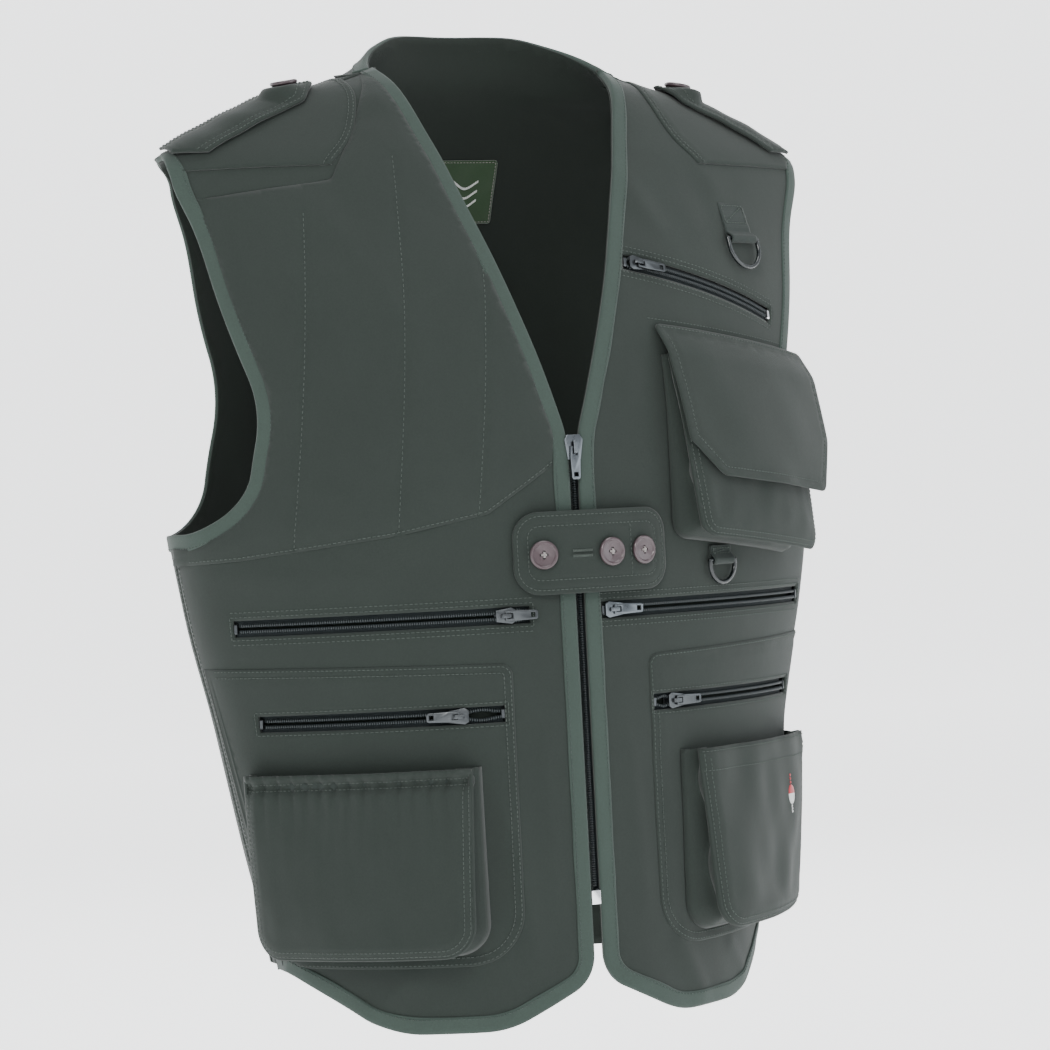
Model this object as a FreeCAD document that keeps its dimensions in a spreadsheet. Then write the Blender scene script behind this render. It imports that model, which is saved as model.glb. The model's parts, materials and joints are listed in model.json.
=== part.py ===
import FreeCAD, Part

import math
import os

import Sketcher

from FreeCAD import Placement, Rotation, Vector

# Multi-pocket fishing vest, as it hangs on a wearer's chest. Millimetres.
# +Z is up, +X is the wearer's left and the front faces -Y. The origin lies midway between
# the two sides of the neck, at the height where the vest rests on the shoulders.

doc = FreeCAD.newDocument("FishingVest")
sheet = doc.addObject("Spreadsheet::Sheet", "Sizes")

# Horizontal sections of the vest's outer face: height, half width, half depth, radius of the
# side, and how much a lift of one millimetre off the face raises the section.
LEVELS = {
    "skirt": (-660, 170, 127, 62, 0.0),
    "hem": (-585, 178, 127, 60, 0.0),
    "thigh": (-532, 189, 127, 58, 0.0),
    "hip": (-479, 200, 127, 56.5, 0.0),
    "lower": (-426, 210.5, 127, 55, 0.0),
    "waist": (-363, 225, 127, 52, 0.0),
    "rib": (-317, 232.5, 127, 53, 0.0),
    "chest": (-271, 238, 127, 55, 0.0),
    "bust": (-200, 241, 125, 52, 0.1),
    "yoke": (-140, 242, 114, 45, 0.3),
    "scye": (-95, 242, 98, 38, 0.4),
    "tip": (-60, 240, 84, 32, 0.8),
    "slope": (-45, 219, 77, 31, 0.9),
    "ridge": (-24, 178, 69, 30, 0.9),
    "saddle": (-8, 136, 62, 29, 0.9),
    "neck": (7, 93, 56, 28, 0.9),
    "collar": (24, 75, 52, 27, 0.6),
    "throat": (56, 64, 48, 26, 0.0),
}
LEVEL_FIELDS = ("height", "half_width", "half_depth", "side_radius", "rise")

SIZES = {
    # cloth
    "cloth_thick": 1.6, "lining_depth": 6.4, "lining_thick": 1.0, "binding_width": 11,
    "binding_proud": 0.8, "patch_thick": 0.8, "laid_gap": 0.1, "pad_thick": 2.4,
    # outline of the opening, the hem and the armholes
    "front_gap": 7, "vee_bottom": -250, "neck_side": 86, "neck_side_height": 10,
    "back_neck_height": 41, "hem_front": -631, "hem_corner": -602, "hem_side": -585,
    "hem_back": -612, "shoulder_seam": -22, "arm_top": -52, "arm_bottom": -300,
    # closed-end zips on the pockets
    "tape_depth": 3.7, "tape_thick": 0.7, "tape_reach": 8.5, "coil_slot": 1.6, "coil_width": 2.5,
    "coil_height": 3.1, "window_height": 12.4, "stop_length": 2.4,
    "narrow_tape_reach": 6.0,
    # sliders and pulls
    "slider_length": 13, "slider_wide": 10.6, "slider_narrow": 7.4, "plate_thick": 1.0,
    "post_width": 1.0, "slider_gap": 0.3, "crown_length": 7, "crown_width": 2.6,
    "crown_wall": 1.0, "eye_height": 1.9, "pull_length": 21, "pull_width": 7, "pull_thick": 1.2,
    "main_growth": 1.25, "main_lift": 1.1, "main_top": -251, "main_bottom": -553,
    "main_parked": -256,
    # bellows pockets, depths measured off the vest's face
    "pocket_wall": 2.0, "lower_mouth_depth": 15, "lower_floor_depth": 28, "lower_mouth": -459,
    "lower_floor": -580, "chest_mouth": -196, "chest_floor": -318, "chest_mouth_depth": 8.4,
    "chest_wall": 1.0, "flap_thick": 1.6, "flap_lift": 5.3,
    # rings, webbing and buttons
    "wire_radius": 1.5, "wire_gap": 0.3, "webbing_thick": 1.2, "button_radius": 9.3,
    "button_thick": 3.2, "button_rim": 1.7, "hole_radius": 0.95, "hole_circle": 1.9,
    # closure tab over the zip
    "tab_left": 66, "tab_right": -46, "tab_top": -297, "tab_height": 54, "tab_thick": 2.0,
    "tab_arch": 5.9,
}
for level, numbers in LEVELS.items():
    for field, number in zip(LEVEL_FIELDS, numbers):
        SIZES[level + "_" + field] = number

for row, (alias, number) in enumerate(SIZES.items(), start=1):
    sheet.set("A%d" % row, alias)
    sheet.set("B%d" % row, str(number))
    sheet.setAlias("B%d" % row, alias)
doc.recompute()


def size(alias):
    return float(sheet.get(alias))


UP = Vector(0, 0, 1)
FAR = 320.0
nodes = []
joints = []


def feature(name, shape):
    made = doc.addObject("Part::Feature", name)
    made.Shape = shape
    return made


def node(label, made, placement=None):
    """Registers an object as the sub-part with this name."""
    made.Label = label
    if placement is not None:
        made.Placement = placement
    nodes.append(made)
    return made


def combined(kind, name, first, second):
    made = doc.addObject(kind, name)
    made.Base = first
    made.Tool = second
    return made


def cut(first, second):
    return combined("Part::Cut", "cut", first, second)


def common(first, second):
    return combined("Part::Common", "common", first, second)


def grouped(name, parts):
    made = doc.addObject("Part::Compound", name)
    made.Links = parts
    return made


# ---------------------------------------------------------------- the body form

def oval(level, lift):
    """Closed section of four tangent arcs, set a given distance outside the outer face."""
    height, half_width, half_depth, side_radius, rise = [
        size(level + "_" + field) for field in LEVEL_FIELDS]
    front_radius = (half_width ** 2 + half_depth ** 2 - 2 * side_radius * half_width) / (
        2 * (half_depth - side_radius))
    spread = math.atan2(half_width - side_radius, front_radius - half_depth)
    joint_x = (front_radius + lift) * math.sin(spread)
    joint_y = half_depth - front_radius + (front_radius + lift) * math.cos(spread)
    wide = half_width + lift
    deep = half_depth + lift
    z = height + rise * lift
    corners = [Vector(-joint_x, -joint_y, z), Vector(joint_x, -joint_y, z),
               Vector(joint_x, joint_y, z), Vector(-joint_x, joint_y, z)]
    middles = [Vector(0, -deep, z), Vector(wide, 0, z), Vector(0, deep, z), Vector(-wide, 0, z)]
    arcs = [Part.Arc(corners[k], middles[k], corners[(k + 1) % 4]).toShape() for k in range(4)]
    return Part.Wire(arcs)


forms = {}


def form(lift, slope=0.0, start=0.0):
    """Solid inside the face set off by a lift, which may grow downwards from a start height."""
    key = (lift, slope, start)
    if key not in forms:
        sections = []
        for level in LEVELS:
            drop = max(0.0, start - size(level + "_height"))
            sections.append(oval(level, lift + slope * drop))
        forms[key] = feature("form", Part.makeLoft(sections, True, False))
    return forms[key]


def face_point(bearing, height):
    """Point of the outer face seen from the vest's upright axis; bearing 0 is the front."""
    out = Vector(math.sin(math.radians(bearing)), -math.cos(math.radians(bearing)), 0)
    ray = Part.makeLine(UP * height, UP * height + out * FAR)
    inside = ray.common(form(0).Shape)
    return max((v.Point for v in inside.Vertexes), key=lambda p: p.distanceToPoint(UP * height))


def face_frame(bearing, height, reach=4.0):
    """Point, level tangent towards the wearer's left, and outward normal of the outer face."""
    across = face_point(bearing + 1.5, height) - face_point(bearing - 1.5, height)
    along = face_point(bearing, height + reach) - face_point(bearing, height - reach)
    across.normalize()
    normal = across.cross(along)
    normal.normalize()
    return face_point(bearing, height), across, normal


def axes(origin, x, z):
    """Placement whose local X and Z axes point along two square directions."""
    y = z.cross(x)
    return Placement(origin, Rotation(x, y, z, "ZXY"))


# ---------------------------------------------------------------- outlines

def rounded(points, radii):
    """Closed outline through corners, each rounded by its own radius."""
    count = len(points)
    if not isinstance(radii, (list, tuple)):
        radii = [radii] * count
    flat = [Vector(u, v, 0) for u, v in points]
    edges = []
    ends = []
    for k in range(count):
        back = flat[k - 1] - flat[k]
        ahead = flat[(k + 1) % count] - flat[k]
        half = back.getAngle(ahead) / 2
        back.normalize()
        ahead.normalize()
        trim = radii[k] / math.tan(half)
        start = flat[k] + back * trim
        end = flat[k] + ahead * trim
        middle = back + ahead
        middle.normalize()
        centre = flat[k] + middle * (radii[k] / math.sin(half))
        top = centre - middle * radii[k]
        if radii[k] > 0.01:
            edges.append(Part.Arc(start, top, end).toShape())
        ends.append((start, end))
    for k in range(count):
        after = ends[(k + 1) % count][0]
        if (after - ends[k][1]).Length > 1e-4:
            edges.append(Part.makeLine(ends[k][1], after))
    return Part.Wire(Part.__sortEdges__(edges))


def offset(outline, distance):
    return Part.Face(outline).makeOffset2D(distance).Wires[0]


def upright(outline, heading=0.0, near=0.0, far=FAR):
    """Prism of an outline drawn in width and height, pushed out towards a heading."""
    face = Part.Face(outline)
    turn = Rotation(UP, heading) * Rotation(Vector(1, 0, 0), 90)
    face.Placement = Placement(Vector(0, 0, 0), turn)
    out = Rotation(UP, heading).multVec(Vector(0, -1, 0))
    face.translate(out * near)
    return feature("prism", face.extrude(out * (far - near)))


def from_above(outline, low=-160.0, high=80.0):
    face = Part.Face(outline)
    face.translate(UP * low)
    return feature("plan", face.extrude(UP * (high - low)))


def mirrored(points):
    return [(-u, v) for u, v in points]


def laid(region, inner, outer, slope=0.0, start=0.0):
    """Cloth between two lifts off the face, inside a region."""
    return cut(common(form(outer, slope, start), region), form(inner, 0.0, 0.0))


# ---------------------------------------------------------------- cloth shells

half_gap = size("front_gap") / 2
vee_slope = (size("neck_side") - half_gap) / (size("neck_side_height") - size("vee_bottom"))
above_neck = size("throat_height") + 8
vee_top_side = half_gap + vee_slope * (above_neck - size("vee_bottom"))

side_top = FAR, above_neck
side_low = FAR, size("hem_side") + 30
# where the hem turns up from the front or the back to the low point of the side
HEM_SIDE_X = 184
FRONT_POINTS = [
    (half_gap, size("hem_corner")), (half_gap, size("vee_bottom")), (vee_top_side, above_neck),
    side_top, side_low, (HEM_SIDE_X, size("hem_side")), (128, size("hem_front")),
    (62, size("hem_front")),
]
FRONT_RADII = [26, 90, 1, 1, 1, 25, 50, 60]
BACK_POINTS = [
    (-side_low[0], side_low[1]), (-HEM_SIDE_X, size("hem_side")), (-115, size("hem_back")),
    (115, size("hem_back")), (HEM_SIDE_X, size("hem_side")), side_low, side_top,
    (-side_top[0], side_top[1]),
]
BACK_RADII = [1, 25, 80, 80, 25, 1, 1, 1]
# depth and height of the armhole's edge and of the neck's edge behind the shoulder seam
ARM_POINTS = [
    (-22, size("arm_top")), (-66, -222), (-54, size("arm_bottom")), (60, size("arm_bottom")),
    (80, -205), (32, size("arm_top")),
]
ARM_RADII = [24, 110, 44, 44, 110, 24]
NECK_POINTS = [
    (-FAR, -158), (size("shoulder_seam"), 5), (36, size("back_neck_height") - 3),
    (60, size("back_neck_height")), (FAR, size("back_neck_height")), (FAR, 150), (-FAR, 150),
]
NECK_RADII = [1, 1, 40, 1, 1, 1, 1]
# inner edge of the neck's binding, which crosses the gentle slope of the shoulder
NECK_BAND_POINTS = [
    (-FAR, -163), (size("shoulder_seam"), 0.5), (36, size("back_neck_height") - 14),
    (60, size("back_neck_height") - 11), (FAR, size("back_neck_height") - 11), (FAR, 150),
    (-FAR, 150),
]

front_outline = {
    "left": rounded(FRONT_POINTS, FRONT_RADII),
    "right": rounded(mirrored(FRONT_POINTS), FRONT_RADII),
}
back_outline = rounded(BACK_POINTS, BACK_RADII)
arm_outline = rounded(ARM_POINTS, ARM_RADII)
band = size("binding_width")


def sideways(outline):
    """Prism of an outline drawn in depth and height, right through the vest."""
    face = Part.Face(outline)
    face.Placement = Placement(Vector(-FAR, 0, 0), Rotation(Vector(1, 1, 1), 120))
    return feature("side_prism", face.extrude(Vector(2 * FAR, 0, 0)))


def box(low, high):
    return Part.makeBox(high[0] - low[0], high[1] - low[1], high[2] - low[2], Vector(*low))


seam_y = size("shoulder_seam")
shoulder_low = -150
front_zone = feature("front_zone", box((-FAR, -FAR, -700), (FAR, 0, shoulder_low)).fuse(
    box((-FAR, -FAR, shoulder_low), (FAR, seam_y, 100))))
back_zone = feature("back_zone", box((-FAR, 0, -700), (FAR, FAR, shoulder_low)).fuse(
    box((-FAR, seam_y, shoulder_low), (FAR, FAR, 100))))
armholes = sideways(arm_outline)
armholes_wide = sideways(offset(arm_outline, band))
neck = sideways(rounded(NECK_POINTS, NECK_RADII))
neck_wide = sideways(rounded(NECK_BAND_POINTS, NECK_RADII))

region = {}
inner_region = {}
for side, outline in front_outline.items():
    region[side] = common(upright(outline, near=-60), front_zone)
    inner_region[side] = common(upright(offset(outline, -band), near=-60), front_zone)
for regions, inset, opening in ((region, 0, neck), (inner_region, -band, neck_wide)):
    outline = offset(back_outline, inset) if inset else back_outline
    whole = common(upright(outline, near=-FAR, far=60), back_zone)
    regions["back"] = cut(whole, opening)

thick = size("cloth_thick")
proud = size("binding_proud")


def binding(inside, outside, name):
    made = common(cut(form(proud), form(-thick - proud)), cut(outside, inside))
    made.Label = name
    return made


# ---------------------------------------------------------------- zip runs

class Run:
    """Circular run of a pocket zip over the vest's face, through three points of it."""

    def __init__(self, name, start, middle, end, reach):
        ring = Part.Circle(start, middle, end)
        self.name = name
        self.centre = ring.Center
        self.radius = ring.Radius
        self.axis = ring.Axis if ring.Axis.z > 0 else ring.Axis * -1
        self.first = start - self.centre
        self.first.normalize()
        self.side = self.axis.cross(self.first)
        to_end = end - self.centre
        self.sweep = math.atan2(to_end.dot(self.side), to_end.dot(self.first))
        self.reach = reach

    def out(self, distance):
        """Outward direction after this distance from the run's start, towards its end."""
        angle = distance / self.radius * math.copysign(1, self.sweep)
        return self.first * math.cos(angle) + self.side * math.sin(angle)

    def length(self):
        return abs(self.sweep) * self.radius

    def bar(self, low, high, inner, outer, begin, finish):
        """Solid bar along the run: span across it, span of lift, span of distance."""
        out = self.out(begin)
        corners = [self.centre + out * (self.radius + lift) + self.axis * across
                   for across, lift in ((low, inner), (low, outer), (high, outer), (high, inner))]
        face = Part.Face(Part.makePolygon(corners + corners[:1]))
        turn = math.degrees((finish - begin) / self.radius)
        return face.revolve(self.centre, self.axis, math.copysign(turn, self.sweep))

    def placement(self, distance):
        """Frame of a slider: X towards the run's end, Z out of the cloth."""
        out = self.out(distance)
        along = self.axis.cross(out) * math.copysign(1, self.sweep)
        return axes(self.centre + out * self.radius, along, out)


def level_run(name, height, side, begin, finish):
    """Run at one height, from one bearing to another, on the left (1) or the right (-1)."""
    bearings = (begin, (begin + finish) / 2, finish)
    start, middle, end = [face_point(side * bearing, height) for bearing in bearings]
    return Run(name, start, middle, end, size("tape_reach"))


runs = [
    level_run("right_waist", size("waist_height"), -1, 17.0, 79),
    level_run("left_waist", size("waist_height"), 1, 8.0, 79),
    level_run("right_lower", size("lower_height"), -1, 25.5, 78),
    level_run("left_lower", size("lower_height"), 1, 24.0, 78),
    Run("left_chest", face_point(27.2, -134), face_point(48, -146), face_point(68.8, -168),
        size("narrow_tape_reach")),
]
# distance of each slider from its run's start, and whether its pull is flipped back to it
PARKED = {"right_waist": (14, True), "left_waist": (6, False), "right_lower": (28, False),
          "left_lower": (16, False), "left_chest": (8, False)}

slot = size("coil_slot") / 2
coil = size("coil_width")
tape_top = -size("tape_depth") + size("tape_thick")
coil_top = tape_top + size("coil_height")


def zip_strip(run):
    """Two tapes, two coil rows and the stops at both ends, each a solid of its own."""
    solids = []
    for sign in (1, -1):
        outer = sign * run.reach
        inner = sign * slot
        solids.append(run.bar(inner, outer, -size("tape_depth"), tape_top, -4, run.length() + 4))
        solids.append(run.bar(sign * slot, sign * (slot + coil), tape_top, coil_top,
                              0, run.length()))
    for begin in (-size("stop_length") - 0.1, run.length() + 0.1):
        solids.append(run.bar(-slot - coil, slot + coil, tape_top, coil_top,
                              begin, begin + size("stop_length")))
    return feature(run.name + "_strip", Part.Compound(solids))


def window(run):
    """Slit through the cloth in front of a zip."""
    half = size("window_height") / 2
    return feature(run.name + "_window", run.bar(-half, half, -6, 6, -3.2, run.length() + 3.2))


windows = {run.name: window(run) for run in runs}


def pierced(made, names):
    for name in names:
        made = cut(made, windows[name])
    return made


panel_right = cut(cut(common(form(0), inner_region["right"]), form(-thick)), armholes_wide)
panel_left = cut(cut(common(form(0), inner_region["left"]), form(-thick)), armholes_wide)
panel_back = cut(cut(common(form(0), inner_region["back"]), form(-thick)), armholes_wide)
node("right_front_panel", pierced(panel_right, ["right_waist", "right_lower"]))
node("left_front_panel", pierced(panel_left, ["left_waist", "left_lower", "left_chest"]))
node("back_panel", panel_back)

lining_out = -size("lining_depth")
lining_in = lining_out - size("lining_thick")
for side in ("right", "left", "back"):
    shell = cut(common(form(lining_out), inner_region[side]), form(lining_in))
    label = "back_lining" if side == "back" else side + "_front_lining"
    node(label, cut(shell, armholes_wide))

edge_parts = [cut(binding(inner_region[side], region[side], side + "_edge"), armholes)
              for side in ("right", "left", "back")]
for side, part in zip(("right", "left", "back"), edge_parts):
    node("back_edge_binding" if side == "back" else side + "_front_binding", part)

arm_band = cut(cut(form(proud), form(-thick - proud)), armholes)
arm_band = common(arm_band, armholes_wide)
for label, low, high in (("right_armhole_binding", -FAR, 0), ("left_armhole_binding", 0, FAR)):
    half = feature("half_space", box((low, -FAR, -700), (high, FAR, 100)))
    node(label, common(arm_band, half))

# ---------------------------------------------------------------- pieces laid on the cloth

gap = size("laid_gap")
patch_top = gap + size("patch_thick")

PATCH_PLAN = [(-106, -60), (-106, 34), (-250, 34), (-250, -70), (-150, -70)]
PATCH_RADII = [26, 20, 1, 1, 20]
EPAULET_END = 229
EPAULET_PLAN = [(-124, -18), (-138, -35), (-EPAULET_END, -33), (-EPAULET_END, 0), (-138, 2)]
EPAULET_LIFT = 2.5
EPAULET_THICK = 2.0
EPAULET_LOW = -56
EPAULET_BUTTON = 146
EPAULET_MIDDLE = -17
PATCH_LOW = -63
patch_column = {}


def shoulder_pieces(side, sign):
    plan = [(-sign * u, v) for u, v in PATCH_PLAN]
    patch_column[side] = from_above(rounded(plan, PATCH_RADII), low=PATCH_LOW)
    patch = laid(patch_column[side], gap, patch_top)
    node(side + "_shoulder_patch", cut(patch, armholes_wide))
    plan = [(-sign * u, v) for u, v in EPAULET_PLAN]
    strap = laid(from_above(rounded(plan, [4, 6, 1, 1, 6]), low=EPAULET_LOW), EPAULET_LIFT,
                 EPAULET_LIFT + EPAULET_THICK)
    node(side + "_epaulet", strap)


shoulder_pieces("right", -1)
shoulder_pieces("left", 1)

PAD_POINTS = [(-260, -322), (-205, -319), (-117, -308), (-60, -297), (-10, -264), (0, -240),
              (0, 20), (-84, 20), (-113, -34), (-136, -74), (-205, -82), (-260, -84)]
pad_region = common(inner_region["right"], upright(rounded(PAD_POINTS, 4)))
pad_shell = cut(laid(pad_region, gap, gap + size("pad_thick")), armholes_wide)
node("recoil_pad", cut(pad_shell, patch_column["right"]))


LOWER_PATCH_POINTS = [(49, -394), (260, -388), (260, -588), (49, -588)]
LOWER_PATCH_RADII = [8, 1, 1, 34]


def lower_patch(side, sign):
    """Big flat patch under each lower pocket, with the slanted zip's slit in it."""
    points = [(sign * u, v) for u, v in LOWER_PATCH_POINTS]
    sheet_region = common(upright(rounded(points, LOWER_PATCH_RADII)), inner_region[side])
    return pierced(laid(sheet_region, gap, patch_top), [side + "_lower"])


node("right_lower_patch", lower_patch("right", -1))
node("left_lower_patch", lower_patch("left", 1))


def bellows(label, heading, left, right, floor, mouth, depth, slope, corner, wall, tilt=0.0):
    """Pocket with a front wall, side gussets, floor and back, open at the top."""
    def area(inset, top):
        points = [(left + inset, floor + inset), (right - inset, floor + inset),
                  (right - inset, top), (left + inset, top)]
        points = [(u, v + tilt * (u - left)) for u, v in points]
        radius = max(corner - inset, 1)
        return upright(rounded(points, [radius, radius, 0.5, 0.5]), heading)

    outer = laid(area(0, mouth), patch_top + gap, depth, slope, mouth)
    hollow = laid(area(wall, mouth + 40), patch_top + gap + wall, depth - wall, slope, mouth)
    return node(label, cut(outer, hollow))


lower_slope = (size("lower_floor_depth") - size("lower_mouth_depth")) / (
    size("lower_mouth") - size("lower_floor"))
# the lower pockets face outwards by this heading and reach these distances across it
LOWER_HEADING = 46
LOWER_NEAR = 34
LOWER_FAR = 118
LOWER_CORNER = 20
bellows("right_lower_pocket", -LOWER_HEADING, -LOWER_FAR, LOWER_NEAR, size("lower_floor"),
        size("lower_mouth"), size("lower_mouth_depth"), lower_slope, LOWER_CORNER,
        size("pocket_wall"))
bellows("left_lower_pocket", LOWER_HEADING, -LOWER_NEAR, LOWER_FAR, size("lower_floor"),
        size("lower_mouth"), size("lower_mouth_depth"), lower_slope, LOWER_CORNER,
        size("pocket_wall"))

CHEST_HEADING = 30
CHEST_TILT = -0.12
CHEST_SLOPE = 0.17
CHEST_CORNER = 12
bellows("left_chest_pocket", CHEST_HEADING, 4, 136, size("chest_floor"), size("chest_mouth"),
        size("chest_mouth_depth"), CHEST_SLOPE, CHEST_CORNER, size("chest_wall"), CHEST_TILT)

# Flap: falls from its seam above the pocket's mouth and stands off in front of the pocket.
FLAP_SEAM = [(1, -176), (158, -196)]
FLAP_SLOPE = 0.19
flap_points = [FLAP_SEAM[0], (1, -254), (22, -279), (140, -293), (158, -258), FLAP_SEAM[1]]
flap_region = upright(rounded(flap_points, [4, 5, 5, 5, 5, 4]), CHEST_HEADING)
flap_start = FLAP_SEAM[0][1]
flap_inner = form(size("flap_lift"), FLAP_SLOPE, flap_start)
flap_outer = form(size("flap_lift") + size("flap_thick"), FLAP_SLOPE, flap_start)
node("left_chest_flap", cut(common(flap_outer, flap_region), flap_inner))

# Gathered elastic in the mouth of the right lower pocket, inside its front wall.
ELASTIC_POINTS = [(-114, -470), (30, -470), (30, -462), (-114, -462)]
ELASTIC_THICK = 1.4
elastic_area = upright(rounded(ELASTIC_POINTS, 0.5), -LOWER_HEADING)
elastic_out = size("lower_mouth_depth") - size("pocket_wall") - 0.2
node("right_pocket_elastic", cut(common(form(elastic_out), elastic_area),
                                 form(elastic_out - ELASTIC_THICK)))

# Labels inside the back of the neck.
LABEL_POINTS = [(-42, -84), (42, -84), (42, -38), (-42, -38)]
TAG_POINTS = [(-16, -108), (16, -108), (16, -85), (-16, -85)]
LABEL_THICK = 0.8
TAG_THICK = 0.5
label_out = lining_in - 0.1
label_region = upright(rounded(LABEL_POINTS, 3), 180)
node("neck_label", cut(common(form(label_out), label_region), form(label_out - LABEL_THICK)))
tag_region = upright(rounded(TAG_POINTS, 1), 180)
node("size_label", cut(common(form(label_out), tag_region), form(label_out - TAG_THICK)))

# ---------------------------------------------------------------- hardware helpers


def plane(body, role):
    return [f for f in body.Origin.OriginFeatures if f.Role == role][0]


def mm(expression):
    return "(%s) * 1 mm" % expression


def outline_sketch(body, role, corners, height="0"):
    """Closed polygon whose corner coordinates are expressions of the sheet's cells."""
    sketch = body.newObject("Sketcher::SketchObject", "outline")
    sketch.AttachmentSupport = [(plane(body, role), "")]
    sketch.MapMode = "FlatFace"
    sketch.setExpression("AttachmentOffset.Base.z", mm(height))
    count = len(corners)
    turns = [2 * math.pi * k / count for k in range(count)]
    guesses = [Vector(4 * math.cos(turn), 4 * math.sin(turn), 0) for turn in turns]
    for k in range(count):
        sketch.addGeometry(Part.LineSegment(guesses[k], guesses[(k + 1) % count]))
    for k in range(count):
        sketch.addConstraint(Sketcher.Constraint("Coincident", k, 2, (k + 1) % count, 1))
    for k, corner in enumerate(corners):
        for axis, expression, guess in zip("XY", corner, guesses[k]):
            rule = Sketcher.Constraint("Distance" + axis, -1, 1, k, 1, guess)
            name = "corner%d%s" % (k, axis)
            sketch.renameConstraint(sketch.addConstraint(rule), name)
            sketch.setExpression("Constraints." + name, mm(expression))
    return sketch


def pad(body, sketch, length, both_ways=False):
    made = body.newObject("PartDesign::Pad", "pad")
    made.Profile = sketch
    made.Midplane = both_ways
    made.setExpression("Length", mm(length))
    return made


def hollow(body, sketch):
    """Pocket straight through the body, both ways from its sketch."""
    made = body.newObject("PartDesign::Pocket", "pocket")
    made.Profile = sketch
    made.Midplane = True
    made.Length = 20
    return made


def joint(name, point, direction):
    joints.append((name, point, direction))


# ---------------------------------------------------------------- sliders and pulls

def slider(label, place, lift, growth):
    """Zip slider: front plate, post between the coil rows, rear plate and a crown."""
    body = doc.addObject("PartDesign::Body", label)
    half = "Sizes.slider_length / 2 * %s" % growth
    wide = "Sizes.slider_wide / 2 * %s" % growth
    narrow = "Sizes.slider_narrow / 2 * %s" % growth
    post = "Sizes.post_width / 2"
    plate = [("-" + half, "-0.7 * " + wide), ("-0.6 * " + half, "-" + wide),
             (half, "-" + narrow), (half, narrow), ("-0.6 * " + half, wide),
             ("-" + half, "0.7 * " + wide)]
    stem = [("-4", "-" + post), ("3", "-" + post), ("3", post), ("-4", post)]
    rear = "-(Sizes.tape_depth + Sizes.slider_gap + Sizes.plate_thick)"
    pad(body, outline_sketch(body, "XY_Plane", plate, lift), "Sizes.plate_thick")
    pad(body, outline_sketch(body, "XY_Plane", stem, rear), lift + " - " + rear)
    pad(body, outline_sketch(body, "XY_Plane", plate, rear), "Sizes.plate_thick")

    reach = "Sizes.crown_length / 2 * %s" % growth
    inside = "(%s - Sizes.crown_wall)" % reach
    foot = "%s + Sizes.plate_thick - 0.1" % lift
    under = "%s + Sizes.plate_thick + Sizes.eye_height" % lift
    over = under + " + Sizes.crown_wall"
    arch = [("-" + reach, foot), ("-" + inside, foot), ("-" + inside, under), (inside, under),
            (inside, foot), (reach, foot), (reach, under), (inside, over), ("-" + inside, over),
            ("-" + reach, under)]
    pad(body, outline_sketch(body, "XZ_Plane", arch), "Sizes.crown_width", both_ways=True)
    return node(label, body, place)


def pull(label, slider_place, lift, growth, flipped):
    """Pull tab: a plate whose end bar lies in the slider's crown."""
    body = doc.addObject("PartDesign::Body", label)
    bar = "Sizes.pull_thick / 2"
    length = "Sizes.pull_length"
    side = "Sizes.pull_width / 2"
    eye = "(Sizes.crown_width / 2 + 0.4)"
    window_end = "4.4 * %s" % growth
    blade = [("-" + bar, "-0.9 * " + side), ("0.3 * " + length, "-" + side),
             (length + " - 1", "-0.85 * " + side), (length, "-0.6 * " + side),
             (length, "0.6 * " + side), (length + " - 1", "0.85 * " + side),
             ("0.3 * " + length, side), ("-" + bar, "0.9 * " + side)]
    pad(body, outline_sketch(body, "XY_Plane", blade), "Sizes.pull_thick", both_ways=True)
    eyelet = [(bar, "-" + eye), (window_end, "-" + eye), (window_end, eye), (bar, eye)]
    hollow(body, outline_sketch(body, "XY_Plane", eyelet))
    grip = [(length + " - 4.6", "-1.6"), (length + " - 1.8", "-1.6"), (length + " - 1.8", "1.6"),
            (length + " - 4.6", "1.6")]
    hollow(body, outline_sketch(body, "XY_Plane", grip))
    bar_height = lift + size("plate_thick") + size("eye_height") / 2
    centre = slider_place.multVec(Vector(0, 0, bar_height))
    turn = slider_place.Rotation
    if flipped:
        turn = turn * Rotation(UP, 180)
    joint(label, centre, turn.multVec(Vector(0, -1, 0)))
    return node(label, body, Placement(centre, turn))


pocket_lift = coil_top + size("slider_gap")
for run in runs:
    distance, flipped = PARKED[run.name]
    place = run.placement(distance)
    node(run.name + "_zip", zip_strip(run))
    slider(run.name + "_slider", place, "%g" % pocket_lift, "1")
    pull(run.name + "_pull", place, pocket_lift, "1", flipped)
    joint(run.name + "_slider", run.centre, run.axis * math.copysign(1, run.sweep))

# ---------------------------------------------------------------- main zip

face_y = -size("hem_half_depth")
main_place = axes(Vector(0, face_y, size("main_parked")), UP * -1, Vector(0, -1, 0))
slider("main_slider", main_place, "Sizes.main_lift", "Sizes.main_growth")
pull("main_pull", main_place, size("main_lift"), "Sizes.main_growth", False)
joint("main_slider", main_place.Base, UP * -1)


def block(label, low_x, width, low_lift, high_lift, bottom, top):
    """Straight bar behind the front edge, given by its lifts off the face."""
    made = doc.addObject("Part::Box", label)
    made.setExpression("Length", mm(width))
    made.setExpression("Width", mm("%s - (%s)" % (high_lift, low_lift)))
    made.setExpression("Height", mm("%s - (%s)" % (top, bottom)))
    made.setExpression("Placement.Base.x", mm(low_x))
    made.setExpression("Placement.Base.y", mm("-Sizes.hem_half_depth - (%s)" % high_lift))
    made.setExpression("Placement.Base.z", mm(bottom))
    return made


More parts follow.
